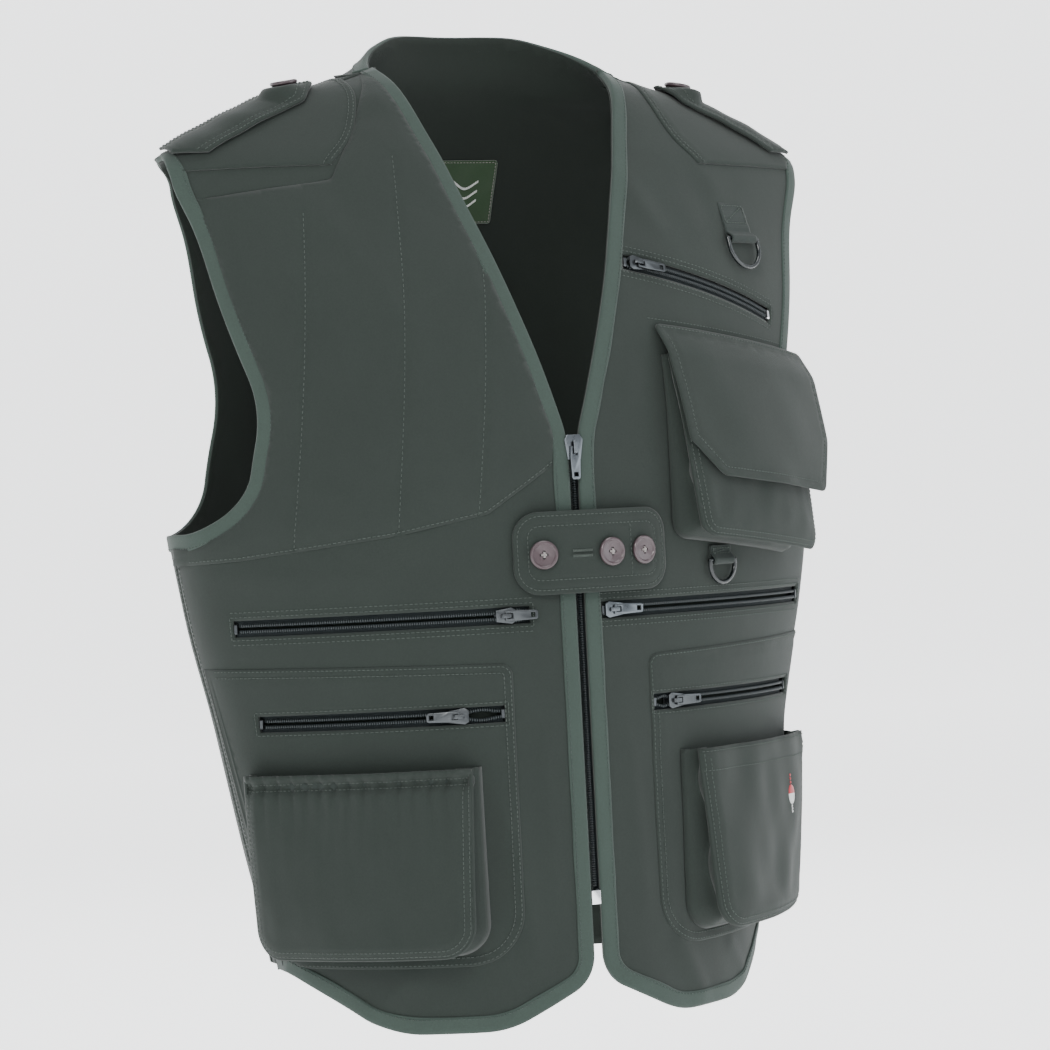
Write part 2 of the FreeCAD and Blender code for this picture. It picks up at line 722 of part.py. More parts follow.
TAPE_BACK = "-Sizes.tape_depth"
TAPE_FACE = "-Sizes.tape_depth + Sizes.tape_thick"
COIL_FACE = TAPE_FACE + " + Sizes.coil_height"
BOTTOM = "Sizes.main_bottom"
TOP = "Sizes.main_top"
for side, tape_x, coil_x in (("left", "0.8", "Sizes.coil_slot / 2"),
                             ("right", "-12.5", "-Sizes.coil_slot / 2 - Sizes.coil_width")):
    node(side + "_zip_tape", block(side + "_tape", tape_x, "11.7", TAPE_BACK, TAPE_FACE,
                                   BOTTOM + " - 2", TOP))
    node(side + "_zip_coil", block(side + "_coil", coil_x, "Sizes.coil_width", TAPE_FACE,
                                   COIL_FACE, BOTTOM + " + 9", TOP + " - 4"))
stops = [block("stop", low_x, "Sizes.coil_width", TAPE_FACE, COIL_FACE, TOP + " - 3.8", TOP)
         for low_x in ("Sizes.coil_slot / 2", "-Sizes.coil_slot / 2 - Sizes.coil_width")]
node("zip_top_stops", grouped("stops", stops))
socket = cut(block("box", "-3.2", "6.4", "-2.9", "0.6", BOTTOM + " - 1", BOTTOM + " + 8"),
             block("channel", "0.4", "2", "-3.0", "-0.1", BOTTOM + " - 2", BOTTOM + " + 9"))
node("retainer_box", socket)
node("insertion_pin", block("pin", "0.7", "1.4", "-2.8", "-0.4", BOTTOM + " - 1",
                            BOTTOM + " + 8.8"))

# ---------------------------------------------------------------- closure tab and buttons

tab_top = size("tab_top")
tab_middle = (size("tab_left") + size("tab_right")) / 2


def front_y(x, height):
    """Depth of the outer face at a place across the front."""
    ray = Part.makeLine(Vector(x, 0, height), Vector(x, -FAR, height))
    return min(v.Point.y for v in ray.common(form(0).Shape).Vertexes)


def arch_points(lift):
    """Level arc that bows over the zip and comes down near the cloth at both ends."""
    places = ((size("tab_right"), lift), (tab_middle, lift + size("tab_arch")),
              (size("tab_left"), lift))
    return [Vector(x, front_y(x, tab_top) - rise, 0) for x, rise in places]


inner_arc = Part.Arc(*arch_points(0.5))
outer_arc = Part.Arc(*arch_points(0.5 + size("tab_thick")))
ends = [(inner_arc.value(p), outer_arc.value(q)) for p, q in (
    (inner_arc.FirstParameter, outer_arc.FirstParameter),
    (inner_arc.LastParameter, outer_arc.LastParameter))]
strip = Part.Wire(Part.__sortEdges__([inner_arc.toShape(), outer_arc.toShape(),
                                      Part.makeLine(*ends[0]), Part.makeLine(*ends[1])]))
strip.translate(UP * (tab_top - size("tab_height")))
strip = feature("strip", Part.Face(strip).extrude(UP * size("tab_height")))
tab_low = tab_top - size("tab_height")
tab_corners = [(size("tab_left"), tab_low), (size("tab_left"), tab_top),
               (size("tab_right"), tab_top), (size("tab_right"), tab_low)]
node("closure_tab", common(strip, upright(rounded(tab_corners, 17))))
hinge_x = size("tab_left")
joint("closure_tab", Vector(hinge_x, front_y(hinge_x, tab_top) - 1.5, tab_top), UP)


def button(label, place):
    """Four-hole button, turned with a raised rim."""
    body = doc.addObject("PartDesign::Body", label)
    radius = "Sizes.button_radius"
    top = "Sizes.button_thick"
    rim = "Sizes.button_rim"
    dish = top + " - 0.9"
    profile = [("0", "0"), (radius + " - 1.6", "0"), (radius, "0.35 * " + top),
               (radius, top + " - 0.7"), (radius + " - 0.7", top), (radius + " - " + rim, top),
               (radius + " - %s - 0.7" % rim, dish), ("0", dish)]
    turned = body.newObject("PartDesign::Revolution", "turned")
    turned.Profile = outline_sketch(body, "XZ_Plane", profile)
    turned.ReferenceAxis = (plane(body, "Z_Axis"), [""])
    turned.Angle = 360
    ring = body.newObject("Sketcher::SketchObject", "hole")
    ring.AttachmentSupport = [(plane(body, "XY_Plane"), "")]
    ring.MapMode = "FlatFace"
    ring.addGeometry(Part.Circle(Vector(1.9, 0, 0), UP, 0.9))
    rules = (("circle", Sketcher.Constraint("DistanceX", -1, 1, 0, 3, 1.9)),
             ("radius", Sketcher.Constraint("Radius", 0, 0.9)))
    for name, rule in rules:
        ring.renameConstraint(ring.addConstraint(rule), name)
        ring.setExpression("Constraints." + name, mm("Sizes.hole_" + name))
    ring.addConstraint(Sketcher.Constraint("PointOnObject", 0, 3, -1))
    first = hollow(body, ring)
    doc.recompute()
    holes = body.newObject("PartDesign::PolarPattern", "holes")
    holes.Originals = [first]
    holes.Axis = (plane(body, "Z_Axis"), [""])
    holes.Angle = 360
    holes.Occurrences = 4
    body.Tip = holes
    return node(label, body, place)


TAB_BUTTONS = (-27, 20, 45)
outer_circle = Part.Circle(*arch_points(0.5 + size("tab_thick")))
for number, x in enumerate(TAB_BUTTONS, start=1):
    centre = outer_circle.Center
    deep = math.sqrt(outer_circle.Radius ** 2 - (x - centre.x) ** 2)
    spot = Vector(x, centre.y - deep, tab_top - size("tab_height") / 2 - 1)
    out = Vector(spot.x - centre.x, spot.y - centre.y, 0)
    out.normalize()
    button("tab_button_%d" % number, axes(spot + out * 0.15, out.cross(UP) * -1, out))


def strap_top(x, y):
    """Point of an epaulet's upper face at a place in plan, and the direction out of it."""
    upper = form(EPAULET_LIFT + EPAULET_THICK).Shape
    spots = []
    for step_x, step_y in ((0, 0), (3, 0), (0, 3)):
        ray = Part.makeLine(Vector(x + step_x, y + step_y, -200), Vector(x + step_x, y + step_y, 200))
        spots.append(max((v.Point for v in ray.common(upper).Vertexes), key=lambda p: p.z))
    across = spots[1] - spots[0]
    out = across.cross(spots[2] - spots[0])
    across.normalize()
    out.normalize()
    return spots[0], across, out


def strap_button(side, sign):
    """Button on top of an epaulet's inner end, and the epaulet's hinge at the armhole."""
    spot, across, out = strap_top(sign * EPAULET_BUTTON, EPAULET_MIDDLE)
    button(side + "_epaulet_button", axes(spot + out * 0.5, across, out))
    spot, across, out = strap_top(sign * EPAULET_END, EPAULET_MIDDLE)
    joint(side + "_epaulet", spot - out * EPAULET_THICK * 0.6, Vector(0, sign, 0))


strap_button("right", -1)
strap_button("left", 1)

# The flap turns about a straight line level with its seam and just in front of it.
FLAP_HINGE_OUT = 9
flap_turn = Rotation(UP, CHEST_HEADING)
seam = []
for u, height in FLAP_SEAM:
    start = flap_turn.multVec(Vector(u, 0, 0)) + UP * height
    ray = Part.makeLine(start, start + flap_turn.multVec(Vector(0, -FAR, 0)))
    seam.append(max((v.Point for v in ray.common(flap_inner.Shape).Vertexes),
                    key=lambda p: p.distanceToPoint(start)))
flap_hinge = (seam[0] + seam[1]) / 2 + flap_turn.multVec(Vector(0, -FLAP_HINGE_OUT, 0))
joint("left_chest_flap", flap_hinge, (seam[0] - seam[1]).normalize())

# ---------------------------------------------------------------- rings on webbing


def solid(kind, name, place, **sizes):
    """Primitive whose sizes are expressions, set at a place in its own frame."""
    made = doc.addObject("Part::" + kind, name)
    for field, expression in sizes.items():
        made.setExpression(field, mm(expression))
    made.Placement = place
    return made


ALONG_X = Rotation(Vector(0, 1, 0), 90)


def ring_on_webbing(name, bearing, height, inside, leg, strap_length):
    """D-ring hanging from a folded strap sewn flat on the cloth."""
    point, across, out = face_frame(bearing, height)
    strap = axes(point + out * 0.35, across, out)
    width = inside - 1.6
    loop_outer = "Sizes.wire_radius + Sizes.wire_gap + Sizes.webbing_thick"
    loop_height = size("wire_radius") + size("wire_gap") + size("webbing_thick")
    bar_place = Vector(0, -strap_length / 2, loop_height)
    tongue = solid("Box", "tongue", Placement(Vector(-width / 2, -strap_length / 2, 0), Rotation()),
                   Length="%g" % width, Width="%g" % strap_length,
                   Height="2 * Sizes.webbing_thick")
    loop_place = Placement(bar_place - Vector(width / 2, 0, 0), ALONG_X)
    loop = solid("Cylinder", "loop", loop_place, Radius=loop_outer, Height="%g" % width)
    hole = solid("Cylinder", "hole", loop_place, Radius="Sizes.wire_radius + Sizes.wire_gap",
                 Height="%g" % width)
    fused = combined("Part::Fuse", "fuse", tongue, loop)
    node(name + "_webbing", cut(fused, hole), strap)

    bow = inside / 2 + size("wire_radius")
    wire = "Sizes.wire_radius"
    parts = [
        solid("Cylinder", "bar", Placement(Vector(-bow, 0, 0), ALONG_X), Radius=wire,
              Height="%g" % (2 * bow)),
        solid("Torus", "bow", Placement(Vector(0, -leg, 0), Rotation(UP, 180)),
              Radius1="%g" % bow, Radius2=wire),
    ]
    parts[1].Angle3 = 180
    for sign in (-1, 1):
        corner = Vector(sign * bow, 0, 0)
        parts.append(solid("Sphere", "corner", Placement(corner, Rotation()), Radius=wire))
        parts.append(solid("Cylinder", "leg", Placement(corner, Rotation(Vector(1, 0, 0), 90)),
                           Radius=wire, Height="%g" % leg))
    ring = doc.addObject("Part::MultiFuse", name + "_fuse")
    ring.Shapes = parts
    bar = strap.multVec(bar_place)
    node(name, ring, Placement(bar, strap.Rotation))
    joint(name, bar, across * -1)


ring_on_webbing("upper_d_ring", 66.5, -104, 28, 5, 27)
ring_on_webbing("lower_d_ring", 47.5, -330, 22, 2.5, 10)

# ---------------------------------------------------------------- checks and files

doc.recompute()
for made in doc.Objects:
    if "Invalid" in made.State or "Error" in made.State:
        raise RuntimeError("%s (%s) failed" % (made.Name, made.Label))
for made in nodes:
    if made.Shape.isNull() or not made.Shape.isValid() or not made.Shape.Solids:
        raise RuntimeError("%s has no valid solid" % made.Label)

os.makedirs("parts", exist_ok=True)
for made in nodes:
    made.Shape.exportStep("parts/%s.step" % made.Label)
    print("%-26s %3d solids %12.1f mm3" % (made.Label, len(made.Shape.Solids), made.Shape.Volume))
print(len(nodes), "sub-parts")
for name, point, direction in joints:
    print("joint %-20s at %8.2f %8.2f %8.2f axis %8.5f %8.5f %8.5f" % (
        (name,) + tuple(point) + tuple(direction)))
for run in runs:
    print("run %-14s radius %7.2f length %7.2f" % (run.name, run.radius, run.length()))
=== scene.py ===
import json
import math
import random

import bmesh
import bpy
import numpy as np
from mathutils import Matrix, Vector
from mathutils.geometry import delaunay_2d_cdt


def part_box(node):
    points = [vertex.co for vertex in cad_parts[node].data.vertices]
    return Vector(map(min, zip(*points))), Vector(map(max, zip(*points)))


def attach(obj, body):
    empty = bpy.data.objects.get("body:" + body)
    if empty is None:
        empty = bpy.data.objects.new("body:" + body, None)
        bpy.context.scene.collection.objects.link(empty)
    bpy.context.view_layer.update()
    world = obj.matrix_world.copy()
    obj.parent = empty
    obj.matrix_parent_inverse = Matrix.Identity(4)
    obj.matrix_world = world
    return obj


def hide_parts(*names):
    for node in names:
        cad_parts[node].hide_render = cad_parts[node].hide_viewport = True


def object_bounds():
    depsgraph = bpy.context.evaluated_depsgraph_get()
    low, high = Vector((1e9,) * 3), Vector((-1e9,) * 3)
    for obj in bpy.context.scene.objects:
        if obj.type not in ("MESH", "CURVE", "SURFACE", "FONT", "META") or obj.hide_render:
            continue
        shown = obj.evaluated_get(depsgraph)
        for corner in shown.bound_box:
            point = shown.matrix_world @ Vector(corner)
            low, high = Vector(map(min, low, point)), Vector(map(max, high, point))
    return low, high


# Looks of the fishing vest. Lengths here are millimetres until a mesh is made; the frame is
# metres, +Z up, +X the wearer's left, and the front faces -Y.
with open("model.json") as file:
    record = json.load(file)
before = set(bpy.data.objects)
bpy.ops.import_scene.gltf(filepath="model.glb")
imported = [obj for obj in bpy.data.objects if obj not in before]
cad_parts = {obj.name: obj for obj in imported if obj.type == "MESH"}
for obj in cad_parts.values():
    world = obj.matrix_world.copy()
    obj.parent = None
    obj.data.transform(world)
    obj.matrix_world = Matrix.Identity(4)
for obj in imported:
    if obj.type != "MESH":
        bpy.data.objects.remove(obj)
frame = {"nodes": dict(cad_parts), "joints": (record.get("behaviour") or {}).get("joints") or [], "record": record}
cad_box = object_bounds()
MM = 0.001
SEED = 7

# ---------------------------------------------------------------- camera, light and floor

CAMERA_TURN = math.radians(-24)
CAMERA_ROLL = math.radians(3.0)
CAMERA_REACH = 2.2
CAMERA_AIM = Vector((0.0197, 0, -0.305))
LENS = 109.3


def look_along(back, up=Vector((0, 0, 1))):
    """Rotation of a camera or lamp that looks against a direction."""
    right = up.cross(back).normalized()
    above = back.cross(right)
    return Matrix((right, above, back)).transposed()


def make_camera():
    data = bpy.data.cameras.new("camera")
    data.lens = LENS
    data.sensor_width = 36
    camera = bpy.data.objects.new("camera", data)
    back = Vector((math.sin(CAMERA_TURN), -math.cos(CAMERA_TURN), 0))
    turn = look_along(back) @ Matrix.Rotation(-CAMERA_ROLL, 3, "Z")
    camera.matrix_world = Matrix.Translation(CAMERA_AIM + back * CAMERA_REACH) @ turn.to_4x4()
    bpy.context.scene.collection.objects.link(camera)
    bpy.context.scene.camera = camera


def make_lamp(name, place, aim, power, size, colour):
    data = bpy.data.lights.new(name, "AREA")
    data.energy = power
    data.shape = "DISK"
    data.size = size
    data.color = colour
    lamp = bpy.data.objects.new(name, data)
    back = (Vector(place) - Vector(aim)).normalized()
    lamp.matrix_world = Matrix.Translation(place) @ look_along(back).to_4x4()
    bpy.context.scene.collection.objects.link(lamp)


def make_stage():
    """Pale floor that curves up into a backdrop, a plain world and four soft lamps."""
    low = cad_box[0][2] - 0.25
    mesh = bpy.data.meshes.new("floor")
    reach, depth, rise = 14, 9, 9
    bend = 3
    curve = [(-reach, low)]
    for step in range(13):
        angle = math.radians(90 * step / 12)
        curve.append((depth - bend + bend * math.sin(angle), low + bend - bend * math.cos(angle)))
    curve.append((depth, low + rise))
    points = [(x, y, z) for x in (-reach, reach) for y, z in curve]
    count = len(curve)
    faces = [(k, count + k, count + k + 1, k + 1) for k in range(count - 1)]
    mesh.from_pydata(points, [], faces)
    mesh.shade_smooth()
    floor = bpy.data.objects.new("floor", mesh)
    bpy.context.scene.collection.objects.link(floor)
    paper = bpy.data.materials.new("backdrop_paper")
    paper.use_nodes = True
    shader = paper.node_tree.nodes["Principled BSDF"]
    shader.inputs["Base Color"].default_value = (0.93, 0.935, 0.935, 1)
    shader.inputs["Roughness"].default_value = 0.9
    shader.inputs["Emission Color"].default_value = (1, 1, 1, 1)
    shader.inputs["Emission Strength"].default_value = 1.3
    mesh.materials.append(paper)
    world = bpy.data.worlds.new("studio")
    world.use_nodes = True
    world.node_tree.nodes["Background"].inputs["Color"].default_value = (0.93, 0.96, 1, 1)
    world.node_tree.nodes["Background"].inputs["Strength"].default_value = 1.0
    bpy.context.scene.world = world
    for name, place, power, size, colour in (
            ("key", (-1.6, -2.4, 1.3), 62, 1.3, (1, 0.98, 0.95)),
            ("fill", (2.3, -2.0, 0.4), 26, 1.8, (0.93, 0.97, 1)),
            ("top", (0.2, -0.4, 2.4), 34, 1.6, (1, 1, 1)),
            ("rim", (1.2, 2.2, 1.2), 30, 1.4, (1, 1, 1))):
        make_lamp(name, place, CAMERA_AIM, power, size, colour)


make_camera()
make_stage()

# ---------------------------------------------------------------- the body form

# Horizontal sections of the cloth's outer face, the same as the frame's: height, half width,
# half depth, radius of the side, and rise per millimetre of lift.
LEVELS = [
    (-660, 170, 127, 62, 0.0), (-585, 178, 127, 60, 0.0), (-532, 189, 127, 58, 0.0),
    (-479, 200, 127, 56.5, 0.0), (-426, 210.5, 127, 55, 0.0), (-363, 225, 127, 52, 0.0),
    (-317, 232.5, 127, 53, 0.0), (-271, 238, 127, 55, 0.0), (-200, 241, 125, 52, 0.1),
    (-140, 242, 114, 45, 0.3), (-95, 242, 98, 38, 0.4), (-60, 240, 84, 32, 0.8),
    (-45, 219, 77, 31, 0.9), (-24, 178, 69, 30, 0.9), (-8, 136, 62, 29, 0.9),
    (7, 93, 56, 28, 0.9), (24, 75, 52, 27, 0.6), (56, 64, 48, 26, 0.0),
]


def ring(a, b, r):
    """Front radius, half turn and the lengths of the front and side arcs of a section."""
    front = (a * a + b * b - 2 * r * a) / (2 * (b - r))
    spread = np.arctan2(a - r, front - b)
    return front, spread, front * spread, r * (math.pi - 2 * spread)


class Spline:
    """Smooth curve through rows of numbers, by distance along them."""

    def __init__(self, rows, steps):
        self.at = np.concatenate(([0], np.cumsum(steps)))
        self.rows = np.array(rows, float)
        n = len(rows)
        gap = np.diff(self.at)
        slopes = np.diff(self.rows, axis=0) / gap[:, None]
        system = np.zeros((n, n))
        right = np.zeros_like(self.rows)
        system[0, 0] = system[-1, -1] = 1
        for k in range(1, n - 1):
            system[k, k - 1:k + 2] = gap[k - 1], 2 * (gap[k - 1] + gap[k]), gap[k]
            right[k] = 6 * (slopes[k] - slopes[k - 1])
        self.bend = np.linalg.solve(system, right)

    def __call__(self, v):
        v = np.clip(np.asarray(v, float), self.at[0], self.at[-1])
        k = np.clip(np.searchsorted(self.at, v, side="right") - 1, 0, len(self.at) - 2)
        gap = (self.at[k + 1] - self.at[k])
        left = (self.at[k + 1] - v) / gap
        right = (v - self.at[k]) / gap
        gap = gap[..., None]
        left = left[..., None]
        right = right[..., None]
        low, high = self.rows[k], self.rows[k + 1]
        return (left * low + right * high + gap ** 2 / 6 * (
            (left ** 3 - left) * self.bend[k] + (right ** 3 - right) * self.bend[k + 1]))


def level_steps():
    """Mean distance between neighbouring sections, round the body."""
    steps = []
    for low, high in zip(LEVELS, LEVELS[1:]):
        rows = []
        for _, a, b, r, _ in (low, high):
            front, spread, _, _ = ring(a, b, r)
            joint = front * math.sin(spread), b - front + front * math.cos(spread)
            rows.append([(0, b), joint, (a, 0)])
        rows = np.array(rows)
        rise = high[0] - low[0]
        gaps = np.sqrt(((rows[1] - rows[0]) ** 2).sum(axis=1) + rise ** 2)
        steps.append(gaps.mean())
    return steps


profile = Spline(LEVELS, level_steps())
V_TABLE = np.linspace(profile.at[0], profile.at[-1], 4000)
Z_TABLE = profile(V_TABLE)[:, 0]


def v_at(z):
    return np.interp(z, Z_TABLE, V_TABLE)


def half_girth(v):
    rows = profile(v)
    _, _, arc, side = ring(rows[..., 1], rows[..., 2], rows[..., 3])
    return 2 * arc + side


def form(s, v, lift=0.0, back=False):
    """Points of the body form. s runs round from the centre front, or from the centre back, to
    the wearer's left; v runs up the form; the lift is outwards."""
    s, v, lift = np.broadcast_arrays(*[np.asarray(k, float) for k in (s, v, lift)])
    rows = profile(v)
    z, a, b, r, rise = np.moveaxis(rows, -1, 0)
    front, spread, arc, side = ring(a, b, r)
    sign = np.where(s < 0, -1.0, 1.0)
    run = np.abs(s)
    if back:
        run = 2 * arc + side - run
    angle_front = run / front
    angle_side = spread + (run - arc) / r
    angle_back = math.pi - (2 * arc + side - run) / front
    on_side = (run >= arc) & (run <= arc + side)
    angle = np.where(run < arc, angle_front, np.where(on_side, angle_side, angle_back))
    centre_x = np.where(on_side, a - r, 0.0)
    centre_y = np.where(run < arc, front - b, np.where(on_side, 0.0, b - front))
    reach = np.where(on_side, r, front) + lift
    x = sign * (centre_x + reach * np.sin(angle))
    y = centre_y - reach * np.cos(angle)
    return np.stack([x, y, z + rise * lift], axis=-1)


def s_at_x(x, z):
    """Distance round from the centre front of a place x on the front, at height z."""
    _, a, b, r, _ = profile(v_at(z))
    front, spread, arc, _ = ring(a, b, r)
    sign = -1 if x < 0 else 1
    x = abs(x)
    if x < front * math.sin(spread):
        return sign * front * math.asin(x / front)
    return sign * (arc + r * (math.asin(min((x - a + r) / r, 1)) - spread))


def s_at_y(y, z, back=False):
    """Distance round from the centre front, or from the centre back, of a depth y."""
    _, a, b, r, _ = profile(v_at(z))
    front, spread, arc, side = ring(a, b, r)
    y = min(max(y, -b), b)
    if abs(y) <= r * math.cos(spread):
        run = arc + r * (math.acos(-y / r) - spread)
    elif y < 0:
        run = front * math.acos(min((front - b - y) / front, 1))
    else:
        run = 2 * arc + side - front * math.acos(min((front - b + y) / front, 1))
    return 2 * arc + side - run if back else run


def chart_front(x, z):
    return s_at_x(x, z), float(v_at(z))


def chart_side(y, z, sign):
    return sign * s_at_y(y, z), float(v_at(z))


def chart_plan(x, y):
    """Place on the shoulder slope under a point seen from above."""
    low, high = float(v_at(-72)), float(v_at(20))
    for _ in range(40):
        v = (low + high) / 2
        _, a, b, r, _ = profile(v)
        front, spread, arc, side = ring(a, b, r)
        if abs(x) > a - r and abs(y) <= math.hypot(abs(x) - a + r, y) * math.cos(spread):
            outside = math.hypot(abs(x) - a + r, y) - r
        else:
            outside = math.hypot(x, abs(y) + front - b) - front
        if outside > 0:
            high = v
        else:
            low = v
    if abs(y) <= r * math.cos(spread) + 1:
        run = arc + r * (math.atan2(abs(x) - a + r, -y) - spread)
    elif y < 0:
        run = front * math.atan2(abs(x), front - b - y)
    else:
        run = 2 * arc + side - front * math.atan2(abs(x), front - b + y)
    return math.copysign(run, x), v


# ---------------------------------------------------------------- outlines

def rounded(points, radii, step=3.0):
    """Closed outline through corners, each rounded by its own radius, as close points."""
    count = len(points)
    if not isinstance(radii, (list, tuple)):
        radii = [radii] * count
    corners = [Vector(p) for p in points]
    made = []
    for k in range(count):
        back = (corners[k - 1] - corners[k]).normalized()
        ahead = (corners[(k + 1) % count] - corners[k]).normalized()
        half = back.angle(ahead) / 2
        trim = radii[k] / math.tan(half)
        middle = (back + ahead).normalized()
        centre = corners[k] + middle * (radii[k] / math.sin(half))
        start = corners[k] + back * trim - centre
        turn = math.pi - 2 * half
        if back.x * ahead.y - back.y * ahead.x > 0:
            turn = -turn
        pieces = max(1, int(abs(turn) * radii[k] / step) + 1)
        if radii[k] < 0.3:
            made.append(corners[k])
            continue
        for piece in range(pieces + 1):
            angle = turn * piece / pieces
            arm = Vector((start.x * math.cos(angle) - start.y * math.sin(angle),
                          start.x * math.sin(angle) + start.y * math.cos(angle)))
            made.append(centre + arm)
    return [tuple(p) for p in made]


def spaced(points, step, closed=True):
    """Points set evenly along a line, with its own corners kept."""
    ends = points + points[:1] if closed else points
    made = []
    for start, end in zip(ends, ends[1:]):
        length = math.dist(start, end)
        if length < 1e-6:
            continue
        pieces = max(1, round(length / step))
        made += [tuple(a + (b - a) * k / pieces for a, b in zip(start, end))
                 for k in range(pieces)]
    return made if closed else made + [points[-1]]


def thinned(points, least):
    """The line without points that crowd each other."""
    made = [points[0]]
    for point in points[1:]:
        if math.dist(point, made[-1]) >= least:
            made.append(point)
    if len(made) > 2 and math.dist(made[0], made[-1]) < least:
        made.pop()
    return made


def signed_area(flat):
    flat = np.asarray(flat)
    after = np.roll(flat, -1, axis=0)
    return 0.5 * float(np.sum(flat[:, 0] * after[:, 1] - after[:, 0] * flat[:, 1]))


def inside(outline, spots):
    """Which spots lie inside a closed outline."""
    found = np.zeros(len(spots), bool)
    ends = np.array(outline)
    for (x0, y0), (x1, y1) in zip(ends, np.roll(ends, -1, axis=0)):
        crosses = (y0 > spots[:, 1]) != (y1 > spots[:, 1])
        if y1 != y0:
            at = x0 + (spots[:, 1] - y0) * (x1 - x0) / (y1 - y0)
            found ^= crosses & (spots[:, 0] < at)
    return found


def gap_to(line, spots, closed=True):
    """Distance of each spot from a line, in the chart."""
    ends = np.array(list(line) + list(line[:1]) if closed else line, float)
    best = np.full(len(spots), 1e9)
    for start, end in zip(ends, ends[1:]):
        way = end - start
        t = np.clip(((spots - start) @ way) / max(float(way @ way), 1e-12), 0, 1)
        best = np.minimum(best, np.linalg.norm(spots - start - t[:, None] * way, axis=1))
    return best


def gap_to_any(lines, spots):
    """Distance of each spot from the nearest of (line, closed) pairs."""
    near = np.full(len(spots), 1e9)
    for points, closed in lines:
        near = np.minimum(near, gap_to(points, spots, closed))
    return near


def unit(rows):
    """Each row at a length of one."""
    return rows / np.linalg.norm(rows, axis=-1, keepdims=True)


def left_of(line, closed=False):
    """Unit directions to the left of a flat line at each of its points."""
    if closed:
        ahead = np.roll(line, -1, axis=0) - np.roll(line, 1, axis=0)
    else:
        ahead = np.gradient(line, axis=0)
    ahead = unit(ahead)
    return np.stack([-ahead[:, 1], ahead[:, 0]], axis=1)


# ---------------------------------------------------------------- the cloth's own relief

def ripple(spots, seed, wavelength, squeeze=1.0, turn=0.0):
    """Smooth unevenness between -1 and 1, the same on every run."""
    draw = random.Random(seed)
    cos, sin = math.cos(turn), math.sin(turn)
    across = (spots[:, 0] * cos + spots[:, 1] * sin)
    along = (-spots[:, 0] * sin + spots[:, 1] * cos) * squeeze
    total = np.zeros(len(spots))
    waves = 7
    for _ in range(waves):
        angle = draw.uniform(0, math.pi)
        scale = 2 * math.pi / (wavelength * draw.uniform(0.7, 1.5))
        phase = draw.uniform(0, 2 * math.pi)
        total += np.sin((across * math.cos(angle) + along * math.sin(angle)) * scale + phase)
    return total / math.sqrt(waves) / 1.4


def fold(spots, start, end, width, height):
    """Soft ridge, or a valley where the height is negative, that fades at both ends."""
    start, end = np.array(start, float), np.array(end, float)
    way = end - start
    length = float(np.linalg.norm(way))
    way = way / length
    along = (spots - start) @ way
    across = (spots - start) @ np.array([-way[1], way[0]])
    fade = np.clip(np.minimum(along, length - along) / (0.3 * length) + 0.35, 0, 1)
    fade = fade * fade * (3 - 2 * fade)
    return height * fade * np.exp(-(across / width) ** 2)


def ease(value, low, high):
    """Smooth rise from 0 at the low value to 1 at the high one."""
    t = np.clip((value - low) / (high - low), 0, 1)
    return t * t * (3 - 2 * t)


# ---------------------------------------------------------------- hardware that the cloth meets

def corners_of(node):
    """All corners of a node of the frame, in millimetres."""
    mesh = frame["nodes"][node].data
    flat = np.zeros(len(mesh.vertices) * 3)
    mesh.vertices.foreach_get("co", flat)
    return flat.reshape(-1, 3) / MM


class Zip:
    """Circle that a pocket zip follows, read from its slider's joint and its strip."""

    def __init__(self, name):
        joint = next(j for j in frame["joints"] if j["name"] == name + "_zip_slide")
        self.name = name
        self.centre = np.array(joint["pos_m"]) / MM
        self.axis = np.array(joint["axis"], float)
        strip = corners_of(name + "_zip") - self.centre
        flat = strip - np.outer(strip @ self.axis, self.axis)
        self.radius = float(np.linalg.norm(flat, axis=1).max()) - COIL_TOP
        middle = flat.mean(axis=0)
        middle /= np.linalg.norm(middle)
        side = np.cross(self.axis, middle)
        turns = np.arctan2(flat @ side, flat @ middle)
        self.first = middle * math.cos(turns.min()) + side * math.sin(turns.min())
        self.side = np.cross(self.axis, self.first)
        self.length = float(turns.max() - turns.min()) * self.radius - 2 * TAPE_END
        slider = corners_of(name + "_slider").mean(axis=0) - self.centre
        self.parked = self.radius * math.atan2(slider @ self.side, slider @ self.first) - TAPE_END

    def at(self, distance, across=0.0, lift=0.0):
        """Points along the zip from its first stop, across it and off the cloth's face."""
        distance, across, lift = np.broadcast_arrays(*[np.asarray(k, float) for k in (
            distance, across, lift)])
        turn = ((distance + TAPE_END) / self.radius)[..., None]
        out = self.first * np.cos(turn) + self.side * np.sin(turn)
        return self.centre + out * (self.radius + lift[..., None]) + self.axis * across[..., None]


COIL_TOP = 0.1
TAPE_END = 4.0
ZIPS = {name: Zip(name) for name in (
    "right_waist", "left_waist", "right_lower", "left_lower", "left_chest")}


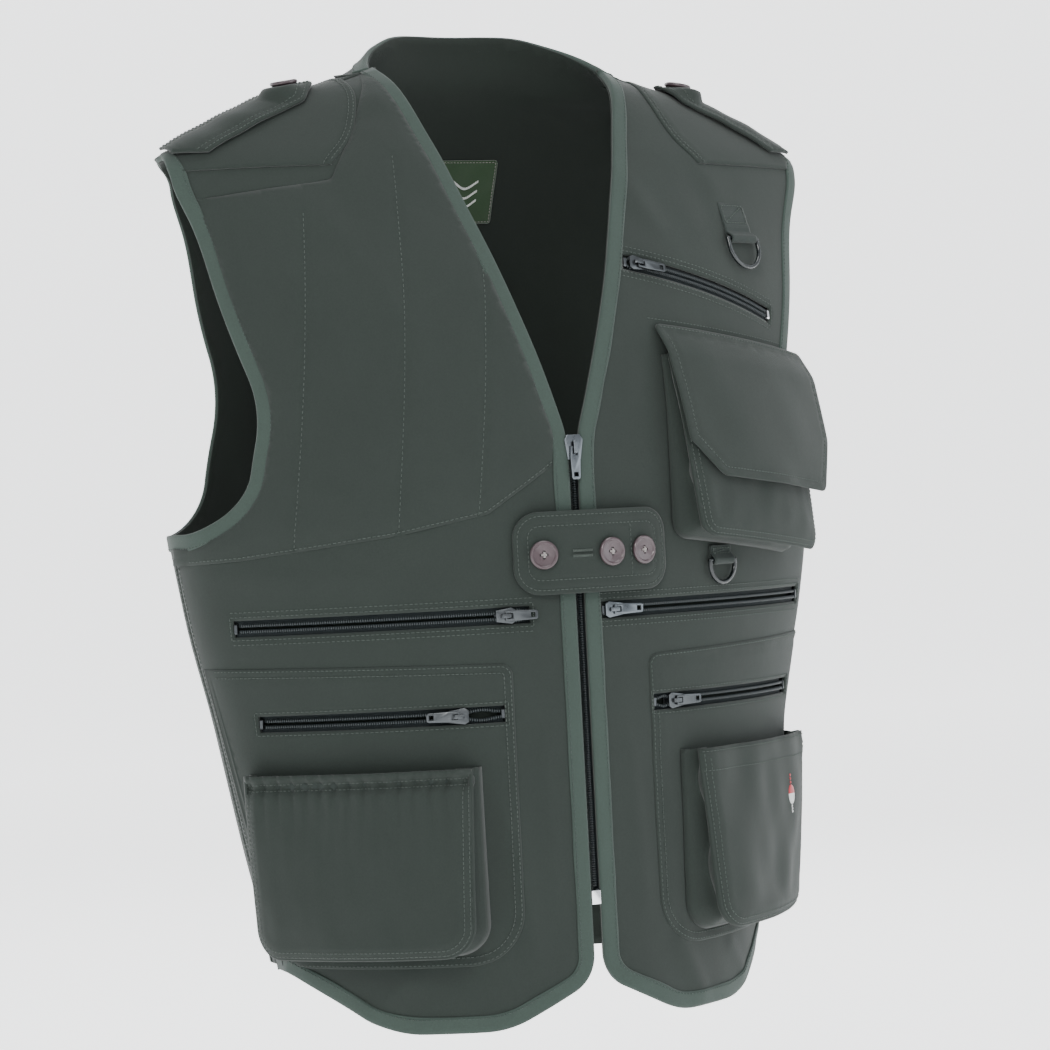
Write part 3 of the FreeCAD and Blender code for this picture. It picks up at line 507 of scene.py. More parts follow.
def charted(points):
    """Places on the front chart nearest to points of space."""
    points = np.asarray(points, float)
    x, y, z = points[:, 0], points[:, 1], points[:, 2]
    v = v_at(z)
    _, a, b, r, _ = profile(v).T
    front, spread, arc, _ = ring(a, b, r)
    turn = np.arctan2(np.abs(x), front - b - y)
    side = arc + r * (np.arctan2(np.abs(x) - a + r, -y) - spread)
    s = np.sign(x) * np.where(turn < spread, front * turn, side)
    for _ in range(5):
        along = form(s + 0.5, v) - form(s - 0.5, v)
        rise = form(s, v + 0.5) - form(s, v - 0.5)
        miss = points - form(s, v)
        aa, ab, bb = (np.sum(p * q, axis=1) for p, q in (
            (along, along), (along, rise), (rise, rise)))
        am, bm = np.sum(along * miss, axis=1), np.sum(rise * miss, axis=1)
        scale = aa * bb - ab * ab
        s = s + np.clip((am * bb - bm * ab) / scale, -20, 20)
        v = v + np.clip((bm * aa - am * ab) / scale, -20, 20)
    return list(zip(s.tolist(), v.tolist()))


def zip_line(zipper, begin, finish, across=0.0, step=4.0):
    """The zip's line, or one beside it, as places on the form."""
    count = max(2, int(abs(finish - begin) / step) + 1)
    return charted(zipper.at(np.linspace(begin, finish, count), across))


def still_spots():
    """Points where hardware sits, so the cloth keeps to the frame's face there."""
    spots = []
    for zipper in ZIPS.values():
        spots += zip_line(zipper, -6, zipper.length + 6, step=8)
    for node in ("upper_d_ring_webbing", "lower_d_ring_webbing"):
        spots += charted([corners_of(node).mean(axis=0)])
    spots += [(x, float(v_at(z))) for x in (-30, 0, 30, 60) for z in range(-345, -250, 15)]
    spots += [(0, float(v_at(z))) for z in range(-620, -250, 15)]
    return np.array(spots)


def up(z):
    """Distance up the form of a height, as one number."""
    return float(v_at(z))


def level(height, first, last, count):
    """Points of a chart along one height."""
    return [(s, height) for s in np.linspace(first, last, count)]


STILL = still_spots()
ARM_POINTS = [(-22, -52), (-66, -222), (-54, -300), (60, -300), (80, -205), (32, -52)]
ARM_YZ = spaced(rounded(ARM_POINTS, [24, 110, 44, 44, 110, 24]), 3)


def drape(s, v, back=False):
    """How far the cloth stands off its plain form: gentle waves and the folds seen in wear."""
    s, v = np.broadcast_arrays(np.asarray(s, float), np.asarray(v, float))
    shape = s.shape
    spots = np.stack([s.ravel(), v.ravel()], axis=1)
    lift = 0.9 * ripple(spots, SEED + (1 if back else 0), 150, 0.6)
    lift += 0.35 * ripple(spots, SEED + 5, 45, 0.7, 0.4)
    for start, end, width, height in BACK_FOLDS if back else FRONT_FOLDS:
        lift += fold(spots, start, end, width, height)
    side_seam = half_girth(spots[:, 1]) / 2
    lift *= ease(side_seam - np.abs(spots[:, 0]), 0, 40)
    lift *= 1 - ease(spots[:, 1], up(-100), up(-50))
    place = form(spots[:, 0], spots[:, 1], 0, back)
    lift *= ease(gap_to(ARM_YZ[::3], place[:, 1:]), 6, 45)
    if not back:
        nearest = np.full(len(spots), 1e9)
        for spot in STILL:
            nearest = np.minimum(nearest, np.hypot(*(spots - spot).T))
        lift *= ease(nearest, 14, 42)
    return lift.reshape(shape)


FRONT_FOLDS = [
    ((-205, up(-90)), (-120, up(-250)), 12, 1.6), ((-160, up(-75)), (-95, up(-190)), 9, 1.2),
    ((-240, up(-240)), (-150, up(-285)), 8, 1.6), ((-250, up(-330)), (-120, up(-340)), 9, 1.2),
    ((-62, up(-470)), (-40, up(-600)), 8, 1.8), ((-75, up(-560)), (-50, up(-625)), 7, 1.3),
    ((-30, up(-430)), (-24, up(-560)), 6, 1.0), ((28, up(-400)), (36, up(-560)), 7, 1.4),
    ((62, up(-580)), (90, up(-628)), 8, 1.6), ((120, up(-590)), (150, up(-622)), 8, 1.3),
    ((60, up(-60)), (90, up(-125)), 10, 1.4), ((30, up(-260)), (52, up(-200)), 8, 1.0),
    ((-120, up(-590)), (-160, up(-625)), 9, 1.5), ((-200, up(-590)), (-230, up(-420)), 9, 1.6),
    ((200, up(-590)), (232, up(-400)), 9, 1.6), ((110, up(-30)), (150, up(-90)), 9, 1.0),
]
BACK_FOLDS = [
    ((-60, up(-60)), (-110, up(-260)), 22, 2.4), ((60, up(-60)), (110, up(-260)), 22, 2.4),
    ((0, up(-120)), (0, up(-420)), 30, -2.0), ((-200, up(-330)), (-120, up(-400)), 14, 2.2),
    ((200, up(-330)), (120, up(-400)), 14, 2.2), ((-150, up(-420)), (-120, up(-600)), 16, 2.2),
    ((150, up(-420)), (120, up(-600)), 16, 2.2), ((-50, up(-450)), (-40, up(-600)), 14, 1.6),
    ((60, up(-440)), (45, up(-600)), 14, 1.6),
]


def cloth_at(s, v, lift=0.0, back=False):
    return form(s, v, drape(s, v, back) + lift, back)


# ---------------------------------------------------------------- materials

def tint(code, gain=1.0):
    """Linear colour from a hexadecimal sRGB one."""
    values = [int(code[k:k + 2], 16) / 255 for k in (1, 3, 5)]
    return tuple(gain * (c / 12.92 if c <= 0.04045 else ((c + 0.055) / 1.055) ** 2.4)
                 for c in values) + (1,)


def shader_of(name):
    material = bpy.data.materials.new(name)
    material.use_nodes = True
    tree = material.node_tree
    return material, tree, tree.nodes["Principled BSDF"]


def linked(tree, kind, *links, **values):
    """Adds a shader node, sets its values and joins its inputs to other outputs."""
    node = tree.nodes.new(kind)
    for key, value in values.items():
        if hasattr(node, key):
            setattr(node, key, value)
        else:
            node.inputs[key.replace("_", " ")].default_value = value
    for key, output in links:
        tree.links.new(output, node.inputs[key])
    return node


def woven(name, colour, thread=0.55, rough=0.86, sheen=0.25, mottle=0.12, relief=0.25, rib=None):
    """Woven cloth: crossing threads, slubs, uneven dye and a soft sheen. Threads in mm."""
    material, tree, shader = shader_of(name)
    place = linked(tree, "ShaderNodeAttribute", attribute_name="weave")
    spot = linked(tree, "ShaderNodeTexCoord").outputs["Object"]
    scale = 0.314 / (thread * MM)
    warp = linked(tree, "ShaderNodeTexWave", ("Vector", place.outputs["Vector"]),
                  bands_direction="X", Scale=scale, Distortion=0.6, Detail=1.0)
    weft = linked(tree, "ShaderNodeTexWave", ("Vector", place.outputs["Vector"]),
                  bands_direction="Y", Scale=scale if rib is None else 0.314 / (rib * MM),
                  Distortion=0.6, Detail=1.0)
    cross = linked(tree, "ShaderNodeMath", (0, warp.outputs["Fac"]), (1, weft.outputs["Fac"]),
                   operation="ADD" if rib is None else "MAXIMUM")
    cloud = linked(tree, "ShaderNodeTexNoise", ("Vector", spot), Scale=16.0, Detail=5.0,
                   Roughness=0.62)
    grain = linked(tree, "ShaderNodeTexNoise", ("Vector", spot), Scale=900.0, Detail=2.0)
    shade = linked(tree, "ShaderNodeMix", (0, cloud.outputs["Fac"]), data_type="RGBA")
    shade.inputs[6].default_value = tuple(c * (1 - mottle) for c in colour[:3]) + (1,)
    shade.inputs[7].default_value = tuple(c * (1 + mottle) for c in colour[:3]) + (1,)
    fine = linked(tree, "ShaderNodeMix", (0, grain.outputs["Fac"]), data_type="RGBA",
                  blend_type="MULTIPLY")
    tree.links.new(shade.outputs[2], fine.inputs[6])
    fine.inputs[7].default_value = (0.62, 0.62, 0.62, 1)
    tree.links.new(fine.outputs[2], shader.inputs["Base Color"])
    bump = linked(tree, "ShaderNodeBump", ("Height", cross.outputs[0]), Strength=relief,
                  Distance=0.12 * MM)
    soft = linked(tree, "ShaderNodeBump", ("Height", cloud.outputs["Fac"]),
                  ("Normal", bump.outputs["Normal"]), Strength=0.25, Distance=2.2 * MM)
    tree.links.new(soft.outputs["Normal"], shader.inputs["Normal"])
    shader.inputs["Roughness"].default_value = rough
    shader.inputs["Sheen Weight"].default_value = sheen
    shader.inputs["Sheen Roughness"].default_value = 0.5
    shader.inputs["Specular IOR Level"].default_value = 0.25
    return material


def metal(name, colour, rough, metallic=1.0, coat=0.0):
    """Plated or painted metal with fine scratches and dulled patches."""
    material, tree, shader = shader_of(name)
    spot = linked(tree, "ShaderNodeTexCoord").outputs["Object"]
    patch = linked(tree, "ShaderNodeTexNoise", ("Vector", spot), Scale=260.0, Detail=6.0)
    lines = linked(tree, "ShaderNodeTexNoise", ("Vector", spot), Scale=1500.0, Detail=3.0)
    range_ = linked(tree, "ShaderNodeMapRange", ("Value", patch.outputs["Fac"]))
    range_.inputs["To Min"].default_value = max(rough - 0.1, 0.05)
    range_.inputs["To Max"].default_value = rough + 0.16
    tree.links.new(range_.outputs["Result"], shader.inputs["Roughness"])
    shade = linked(tree, "ShaderNodeMix", (0, patch.outputs["Fac"]), data_type="RGBA")
    shade.inputs[6].default_value = tuple(c * 0.8 for c in colour[:3]) + (1,)
    shade.inputs[7].default_value = tuple(min(c * 1.2, 1) for c in colour[:3]) + (1,)
    tree.links.new(shade.outputs[2], shader.inputs["Base Color"])
    bump = linked(tree, "ShaderNodeBump", ("Height", lines.outputs["Fac"]), Strength=0.3,
                  Distance=0.05 * MM)
    tree.links.new(bump.outputs["Normal"], shader.inputs["Normal"])
    shader.inputs["Metallic"].default_value = metallic
    shader.inputs["Coat Weight"].default_value = coat
    return material


PAINT = {
    "cloth": woven("cloth_twill", tint("#3a453f", 0.4), sheen=0.1),
    # The lining is painted darker than the shell: partly the lining cloth's own dark green, partly painted shade
    # of the vest's interior.
    "lining": woven("lining_cloth_with_painted_shade", tint("#232c26", 0.6), thread=0.4, sheen=0.05, mottle=0.1),
    "binding": woven("binding_tape", tint("#4a5b53", 0.48), thread=0.5, rib=0.9, sheen=0.12),
    "thread": woven("sewing_thread", tint("#56625b", 0.55), thread=0.3, sheen=0.15, mottle=0.2),
    "tape_thread": woven("tape_thread", tint("#3d4c45", 0.6), thread=0.3, sheen=0.15, mottle=0.2),
    "tape": woven("zip_tape", tint("#222b2d", 0.6), thread=0.5, rib=0.8, sheen=0.08),
    "webbing": woven("webbing_cloth", tint("#343e3a", 0.55), thread=0.8, rib=1.6, sheen=0.1,
                     relief=0.5),
    "coil": metal("nylon_coil", tint("#1d2426"), 0.42, metallic=0.0),
    "nickel": metal("black_nickel", tint("#5f6468"), 0.28),
    "gun": metal("gun_metal", tint("#4c4f51"), 0.32),
    "bright": metal("bright_stop", tint("#e8e8ea"), 0.2),
    "ring": metal("ring_enamel", tint("#141a1b"), 0.25, metallic=0.35, coat=0.5),
    "button": metal("button_resin", tint("#392b2f"), 0.34, metallic=0.0, coat=0.3),
    "pale_thread": woven("pale_thread", tint("#8d8785"), thread=0.3, sheen=0.4),
    "label": woven("label_weave", tint("#1f3a1c"), thread=0.45, sheen=0.5),
    "white": woven("tag_tape", tint("#e9e9ea"), thread=0.4, mottle=0.03),
    "ink": woven("tag_ink", tint("#50555a"), thread=0.4),
    "red": woven("red_floss", tint("#b3202c"), thread=0.35, sheen=0.6),
    "floss": woven("white_floss", tint("#d8dbd8"), thread=0.35, sheen=0.6),
}

# ---------------------------------------------------------------- mesh builders

class Wrap:
    """Chart of the draped cloth, round the form from the centre front or the centre back."""

    def __init__(self, back=False):
        self.back = back

    def at(self, spots, lift=0.0):
        spots = np.asarray(spots, float)
        return cloth_at(spots[..., 0], spots[..., 1], lift, self.back)

    def out_sign(self):
        return -1 if self.back else 1


class Facing:
    """Chart of level lines of sight: across a heading and height, at any lift off the form."""

    def __init__(self, heading):
        self.turn = math.radians(heading)

    def at(self, spots, lift=0.0):
        spots = np.asarray(spots, float)
        u, z = spots[..., 0], spots[..., 1]
        lift = np.broadcast_to(np.asarray(lift, float), u.shape)
        v = v_at(z)
        rows = profile(v)
        front, _, arc, _ = ring(rows[..., 1], rows[..., 2], rows[..., 3])
        s = np.sign(self.turn) * np.minimum(front * abs(self.turn), arc) + u
        for _ in range(14):
            here = self.across(s, v, lift)
            slope = (self.across(s + 0.5, v, lift) - self.across(s - 0.5, v, lift))
            s = s + np.clip((u - here) / np.maximum(slope, 0.15), -15, 15)
        return form(s, v, lift + drape(s, v) * 0.6)

    def across(self, s, v, lift):
        spot = form(s, v, lift)
        return spot[..., 0] * math.cos(self.turn) + spot[..., 1] * math.sin(self.turn)

    def out_sign(self):
        return 1


WRAP = Wrap()
WRAP_BACK = Wrap(True)


def piece(name, spots, faces, paint, weave=None, body="vest", smooth=True):
    """Object from points in millimetres, riding on a body."""
    mesh = bpy.data.meshes.new(name)
    faces = faces.tolist() if isinstance(faces, np.ndarray) else faces
    mesh.from_pydata((np.asarray(spots, float) * MM).tolist(), [], faces)
    if smooth:
        mesh.shade_smooth()
    mesh.materials.append(PAINT[paint])
    if weave is not None:
        grain = mesh.attributes.new("weave", "FLOAT_VECTOR", "POINT")
        grain.data.foreach_set("vector", (np.asarray(weave, float) * MM).ravel())
    made = bpy.data.objects.new(name, mesh)
    bpy.context.scene.collection.objects.link(made)
    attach(made, body)
    return made


def triangles(lines, keep, spacing):
    """Even triangles between lines of a chart, where keep() says that there is cloth."""
    spots = []
    edges = []
    for points, closed in lines:
        first = len(spots)
        count = len(points)
        spots += [tuple(p) for p in points]
        edges += [(first + k, first + (k + 1) % count)
                  for k in range(count if closed else count - 1)]
    flat = np.array(spots)
    low, high = flat.min(axis=0), flat.max(axis=0)
    across = np.arange(low[0], high[0], spacing)
    rows = []
    for number, v in enumerate(np.arange(low[1], high[1], spacing * 0.866)):
        shift = spacing / 2 * (number % 2)
        rows.append(np.stack([across + shift, np.full_like(across, v)], axis=1))
    grid = np.vstack(rows)
    grid = grid[keep(grid)]
    for points, closed in lines:
        grid = grid[gap_to(list(points), grid, closed) > 0.5 * spacing]
    spots = [Vector(p) for p in spots] + [Vector(p) for p in grid.tolist()]
    made, _, faces, *_ = delaunay_2d_cdt(spots, edges, [], 0, 1e-5)
    flat = np.array([tuple(p) for p in made])
    faces = np.array([list(f) for f in faces])
    faces = faces[keep(flat[faces].mean(axis=1))]
    used, index = np.unique(faces, return_inverse=True)
    flat, faces = flat[used], index.reshape(-1, 3)
    a, b, c = flat[faces[:, 0]], flat[faces[:, 1]], flat[faces[:, 2]]
    turn = (b[:, 0] - a[:, 0]) * (c[:, 1] - a[:, 1]) - (b[:, 1] - a[:, 1]) * (c[:, 0] - a[:, 0])
    faces[turn < 0] = faces[turn < 0][:, ::-1]
    return flat, faces


def free_edges(faces):
    """Edges that only one triangle has, in that triangle's order."""
    pairs = np.vstack([faces[:, [0, 1]], faces[:, [1, 2]], faces[:, [2, 0]]])
    _, first, count = np.unique(np.sort(pairs, axis=1), axis=0, return_index=True,
                                return_counts=True)
    return pairs[first[count == 1]]


def cloth(name, lines, keep, chart, paint="cloth", lift=None, thick=1.2, spacing=4.0,
          body="vest", hung=True, lifted=None):
    """Cloth with two faces and a rim. lift() gives the outer face's lift at spots of the chart,
    and lifted() the inner face's, where it isn't just the thickness below."""
    flat, faces = triangles(lines, keep, spacing)
    height = np.zeros(len(flat)) if lift is None else lift(flat)
    inner = height - thick if lifted is None else lifted(flat)
    outer_points = chart.at(flat, height)
    spots = np.vstack([outer_points, chart.at(flat, inner)])
    count = len(flat)
    if chart.out_sign() < 0:
        faces = faces[:, ::-1]
    rim = free_edges(faces)
    quads = np.stack([rim[:, 1], rim[:, 0], rim[:, 0] + count, rim[:, 1] + count], axis=1)
    every = faces.tolist() + (faces[:, ::-1] + count).tolist() + quads.tolist()
    weave = np.hstack([np.vstack([flat, flat]), np.zeros((2 * count, 1))])
    made = piece(name, spots, every, paint, weave, body)
    a, b, c = (outer_points[faces[:, k]] for k in range(3))
    area = 0.5 * np.linalg.norm(np.cross(b - a, c - a), axis=1).sum() * MM * MM
    width, length = (float(k) * MM for k in np.ptp(flat, axis=0))
    if hung:
        area = float(min(max(area, 0.31 * width * length), width * length))
    return made


def swept(name, line, rows, chart, paint, closed=False, body="vest", inward=1.0):
    """Strip with a closed section along a line of a chart. rows are (inward, lift) pairs, or a
    function of the line's points that gives one such row of pairs for each."""
    line = np.array(line, float)
    side = left_of(line, closed) * inward
    rows = rows(line) if callable(rows) else np.broadcast_to(
        np.array(rows, float), (len(line), len(rows), 2))
    spots = line[:, None, :] + side[:, None, :] * rows[:, :, :1]
    points = chart.at(spots, rows[:, :, 1])
    n, m = rows.shape[0], rows.shape[1]
    runs = np.concatenate(([0], np.cumsum(np.linalg.norm(np.diff(line, axis=0), axis=1))))
    weave = np.stack([np.broadcast_to(runs[:, None], (n, m)), rows[:, :, 0],
                      np.zeros((n, m))], axis=-1).reshape(-1, 3)
    index = np.arange(n * m).reshape(n, m)
    first = index if closed else index[:-1]
    after = np.roll(index, -1, axis=0) if closed else index[1:]
    quads = np.stack([first, after, np.roll(after, -1, axis=1), np.roll(first, -1, axis=1)],
                     axis=-1).reshape(-1, 4)
    if inward * chart.out_sign() < 0:
        quads = quads[:, ::-1]
    faces = quads.tolist()
    if not closed:
        faces += [index[0].tolist(), index[-1][::-1].tolist()]
    return piece(name, points.reshape(-1, 3), faces, paint, weave, body)


class Threads:
    """Stitches of one colour on one body, gathered into a single piece."""

    def __init__(self, name, paint, body="vest"):
        self.name, self.paint, self.body = name, paint, body
        self.spots, self.faces, self.grain = [], [], []

    def row(self, line, chart, lift=0.0, pitch=3.0, length=2.1, radius=0.3, closed=False):
        """Row of stitches along a line of a chart; the lift may be a function of its spots."""
        line = np.array(list(line) + (list(line[:1]) if closed else []), float)
        flat_lift = lift(line) if callable(lift) else np.full(len(line), float(lift))
        path = chart.at(line, flat_lift)
        proud = chart.at(line, flat_lift + 1.0) - path
        run = np.concatenate(([0], np.cumsum(np.linalg.norm(np.diff(path, axis=0), axis=1))))
        count = int(run[-1] / pitch)
        if count < 1:
            return
        starts = (np.arange(count) + 0.15) * run[-1] / count
        shares = np.array([0, 0.2, 0.5, 0.8, 1.0])
        sizes = np.array([0.5, 0.95, 1.0, 0.95, 0.5]) * radius
        rises = np.array([-0.9, 0.25, 0.45, 0.25, -0.9]) * radius
        at = starts[:, None] + shares * length
        middle = np.stack([np.interp(at, run, path[:, k]) for k in range(3)], axis=-1)
        out = np.stack([np.interp(at, run, proud[:, k]) for k in range(3)], axis=-1)
        out /= np.linalg.norm(out, axis=-1, keepdims=True)
        along = np.gradient(middle, axis=1)
        along /= np.linalg.norm(along, axis=-1, keepdims=True)
        across = np.cross(along, out)
        middle = middle + out * rises[None, :, None]
        self.tubes(middle, across, out, sizes)

    def tubes(self, middle, across, out, sizes):
        """Closed five-sided tubes: middle, across and out are (tubes, rings, 3)."""
        sides = 5
        turns = np.arange(sides) * 2 * math.pi / sides
        sizes = np.broadcast_to(sizes, middle.shape[:2])
        ringed = middle[:, :, None, :] + sizes[:, :, None, None] * (
            across[:, :, None, :] * np.cos(turns)[:, None]
            + out[:, :, None, :] * np.sin(turns)[:, None])
        n, m = middle.shape[:2]
        base = sum(len(k) for k in self.spots)
        index = base + np.arange(n * m * sides).reshape(n, m, sides)
        quads = np.stack([index[:, :-1], np.roll(index[:, :-1], -1, axis=2),
                          np.roll(index[:, 1:], -1, axis=2), index[:, 1:]], axis=-1)
        self.faces += quads.reshape(-1, 4).tolist()
        self.faces += index[:, 0, ::-1].tolist() + index[:, -1].tolist()
        self.spots.append(ringed.reshape(-1, 3))
        run = np.broadcast_to(np.arange(m)[None, :, None] * 0.5, (n, m, sides))
        turn = np.broadcast_to(np.arange(sides)[None, None, :] * 0.4, (n, m, sides))
        self.grain.append(np.stack([run, turn, np.zeros_like(run)], axis=-1).reshape(-1, 3))

    def thread(self, points, radius, out=(0, -1, 0)):
        """One closed length of thread through points of space."""
        middle = np.array(points, float)[None]
        along = np.gradient(middle, axis=1)
        along /= np.linalg.norm(along, axis=-1, keepdims=True)
        out = np.broadcast_to(np.array(out, float), middle.shape)
        across = np.cross(along, out)
        across /= np.linalg.norm(across, axis=-1, keepdims=True) + 1e-9
        rise = np.cross(across, along)
        self.tubes(middle, across, rise, np.full(middle.shape[1], radius))

    def finish(self):
        if not self.spots:
            return None
        return piece(self.name, np.vstack(self.spots), self.faces, self.paint,
                     np.vstack(self.grain), self.body)


def bevelled(name, node, paint, width=0.25, body=None):
    """Copy of a CAD node with softened edges, in its place."""
    source = frame["nodes"][node]
    work = bmesh.new()
    work.from_mesh(source.data)
    bmesh.ops.remove_doubles(work, verts=work.verts, dist=1e-7)
    bmesh.ops.dissolve_limit(work, angle_limit=math.radians(4), verts=work.verts,
                             edges=work.edges)
    mesh = bpy.data.meshes.new(name)
    work.to_mesh(mesh)
    work.free()
    mesh.materials.clear()
    mesh.materials.append(PAINT[paint])
    mesh.shade_smooth()
    made = bpy.data.objects.new(name, mesh)
    bpy.context.scene.collection.objects.link(made)
    bevel = made.modifiers.new("edges", "BEVEL")
    bevel.width = width * MM
    bevel.segments = 2
    bevel.limit_method = "ANGLE"
    bevel.angle_limit = math.radians(28)
    bevel.harden_normals = True
    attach(made, body or body_of(node))
    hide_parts(node)
    return made


def body_of(node):
    """Name of the body that a CAD node belongs to."""
    return next(name for name, nodes in frame["record"]["behaviour"]["bodies"].items()
                if node in nodes)


# ---------------------------------------------------------------- outlines of the cloth

FRONT_POINTS = [(3.5, -602), (3.5, -250), (102, 64), (320, 64), (320, -555), (184, -585),
                (128, -631), (62, -631)]
FRONT_RADII = [26, 90, 1, 1, 1, 25, 50, 60]
BACK_POINTS = [(-320, -555), (-184, -585), (-115, -612), (115, -612), (184, -585), (320, -555),
               (320, 64), (-320, 64)]
BACK_RADII = [1, 25, 80, 80, 25, 1, 1, 1]
NECK_POINTS = [(-320, -158), (-22, 5), (36, 38), (60, 41), (320, 41), (320, 150), (-320, 150)]
SHOULDER_Y = -22
SHOULDER_LOW = -150
FRONT_XZ = {1: spaced(rounded(FRONT_POINTS, FRONT_RADII), 3)}
FRONT_XZ[-1] = [(-x, z) for x, z in FRONT_XZ[1]]
BACK_XZ = spaced(rounded(BACK_POINTS, BACK_RADII), 3)
NECK_YZ = spaced(rounded(NECK_POINTS, [1, 1, 40, 1, 1, 1, 1]), 3)


def seen_chain(outline):
    """Part of a closed outline in width and height that lies on the form, as one chain."""
    on = [abs(x) < profile(v_at(z))[1] * 0.9998 and z < 50 for x, z in outline]
    start = next(k for k in range(len(on)) if on[k] and not on[k - 1])
    chain = []
    while on[(start + len(chain)) % len(on)] and len(chain) < len(on):
        chain.append(outline[(start + len(chain)) % len(on)])
    return [chart_front(x, z) for x, z in chain]


def seam_reach(z):
    """Depth that parts the front from the back: the shoulder seam, and the side seam."""
    return np.where(z < SHOULDER_LOW, 0.0, SHOULDER_Y)


def front_keep(sign):
    def keep(spots):
        place = form(spots[:, 0], spots[:, 1])
        return (inside(FRONT_XZ[sign], place[:, [0, 2]]) & ~inside(ARM_YZ, place[:, 1:])
                & (place[:, 1] < seam_reach(place[:, 2])) & (spots[:, 0] * sign > 0))
    return keep


def back_keep(spots):
    place = form(spots[:, 0], spots[:, 1], 0, True)
    half = np.array(BACK_NECK[len(BACK_NECK) // 2:])
    below_neck = spots[:, 1] < np.interp(np.abs(spots[:, 0]), half[:, 0], half[:, 1]) + 0.01
    return (inside(BACK_XZ, place[:, [0, 2]]) & ~inside(ARM_YZ, place[:, 1:])
            & below_neck & (place[:, 1] > seam_reach(place[:, 2])))


def trimmed(chain, back=False):
    """The chain up to the shoulder seam, where the other part of the cloth takes over."""
    place = form([s for s, v in chain], [v for s, v in chain], 0, back)
    behind = place[:, 1] - SHOULDER_Y
    keep = (behind > 0) if back else (behind < 0)
    keep |= place[:, 2] < SHOULDER_LOW
    return [spot for spot, wanted in zip(chain, keep) if wanted]


FRONT_EDGE = {sign: trimmed(seen_chain(FRONT_XZ[sign])) for sign in (1, -1)}
BACK_HEM = seen_chain(BACK_XZ)
ARM_EDGE = {sign: [chart_side(y, z, sign) for y, z in ARM_YZ] for sign in (1, -1)}
ARM_EDGE_BACK = {sign: [(sign * s_at_y(y, z, True), float(v_at(z))) for y, z in ARM_YZ]
                 for sign in (1, -1)}
SIDE_SEAM = {sign: [(sign * float(half_girth(v)) / 2, v) for v in np.linspace(
    up(-640), up(-285), 90)] for sign in (1, -1)}
SHOULDER_SEAM = {sign: [chart_side(SHOULDER_Y, z, sign) for z in np.linspace(-70, 16, 40)]
                 for sign in (1, -1)}
SHOULDER_SEAM_BACK = {sign: [(sign * s_at_y(SHOULDER_Y, z, True), up(z)) for z in np.linspace(
    -70, 16, 40)] for sign in (1, -1)}


def back_neck():
    """Edge of the back's neck, from the right shoulder seam to the left one."""
    rows = sorted((y, z) for y, z in NECK_YZ if SHOULDER_Y <= y <= 62 and z < 60)
    chain = [(s_at_y(y, z, True), up(z)) for y, z in rows if y < profile(v_at(z))[2] - 0.05]
    inner, height = chain[-1]
    left = chain + level(height, inner, 0, 12)[1:]
    return [(-s, v) for s, v in left] + left[::-1][1:]


BACK_NECK = back_neck()

# ---------------------------------------------------------------- shells, linings and bindings

WINDOW_HALF = 5.4


def window(zipper, grow=0.0):
    """Outline in the chart of the slit in front of a zip."""
    half = WINDOW_HALF + grow
    low = zip_line(zipper, -2.6 - grow, zipper.length + 2.6 + grow, -half)
    high = zip_line(zipper, -2.6 - grow, zipper.length + 2.6 + grow, half)
    outline = low + high[::-1]
    return thinned(spaced(outline, 3), 1.2)


WINDOWS = {name: window(zipper) for name, zipper in ZIPS.items()}
LIPS = {name: window(zipper, 1.8) for name, zipper in ZIPS.items()}


def lip_drop(spots, names):
    """Cloth turns down at the edge of each zip's slit."""
    drop = np.zeros(len(spots))
    for name in names:
        drop += 0.9 * (1 - ease(gap_to(WINDOWS[name], spots), 0, 2.2))
    return drop


def without_windows(keep, names):
    def kept(spots):
        found = keep(spots)
        for name in names:
            found &= ~inside(WINDOWS[name], spots)
        return found
    return kept


def window_lines(names):
    """Edges of the slits and of the turned-down cloth round them, for cloth()."""
    lines = []
    for name in names:
        lines += [(WINDOWS[name], True), (LIPS[name], True)]
    return lines


SHELL_THICK = 1.3
LINING_THICK = 0.9


def lining_lift(spots, edges):
    """Lift of a lining: held to the shell at the bound edges, and free behind the rest."""
    return -1.9 - 4.5 * ease(gap_to_any(edges, spots), 7, 34)


def make_fronts():
    for sign, side, names in ((-1, "right", ["right_waist", "right_lower"]),
                              (1, "left", ["left_waist", "left_lower", "left_chest"])):
        lines = [(FRONT_EDGE[sign], False), (ARM_EDGE[sign], True), (SIDE_SEAM[sign], False),
                 (SHOULDER_SEAM[sign], False)] + window_lines(names)
        made = cloth(side + "_front_shell", lines, without_windows(front_keep(sign), names),
                     WRAP, "cloth", lambda spots, n=names: -lip_drop(spots, n), SHELL_THICK, 3.6)
        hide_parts(side + "_front_panel")
        lines = lines[:4]
        # The inside of each front wears the darker lining colour, which holds painted shade of the interior.
        made = cloth(side + "_front_inside", lines, front_keep(sign), WRAP, "lining",
                     lambda spots, edges=lines[:2]: lining_lift(spots, edges), LINING_THICK, 7.5)
        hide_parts(side + "_front_lining")


BACK_LINES = [(BACK_HEM, False), (BACK_NECK, False), (SIDE_SEAM[1], False),
              (SIDE_SEAM[-1], False), (ARM_EDGE_BACK[1], True), (ARM_EDGE_BACK[-1], True),
              (SHOULDER_SEAM_BACK[1], False), (SHOULDER_SEAM_BACK[-1], False)]


YOKE_Z = -150


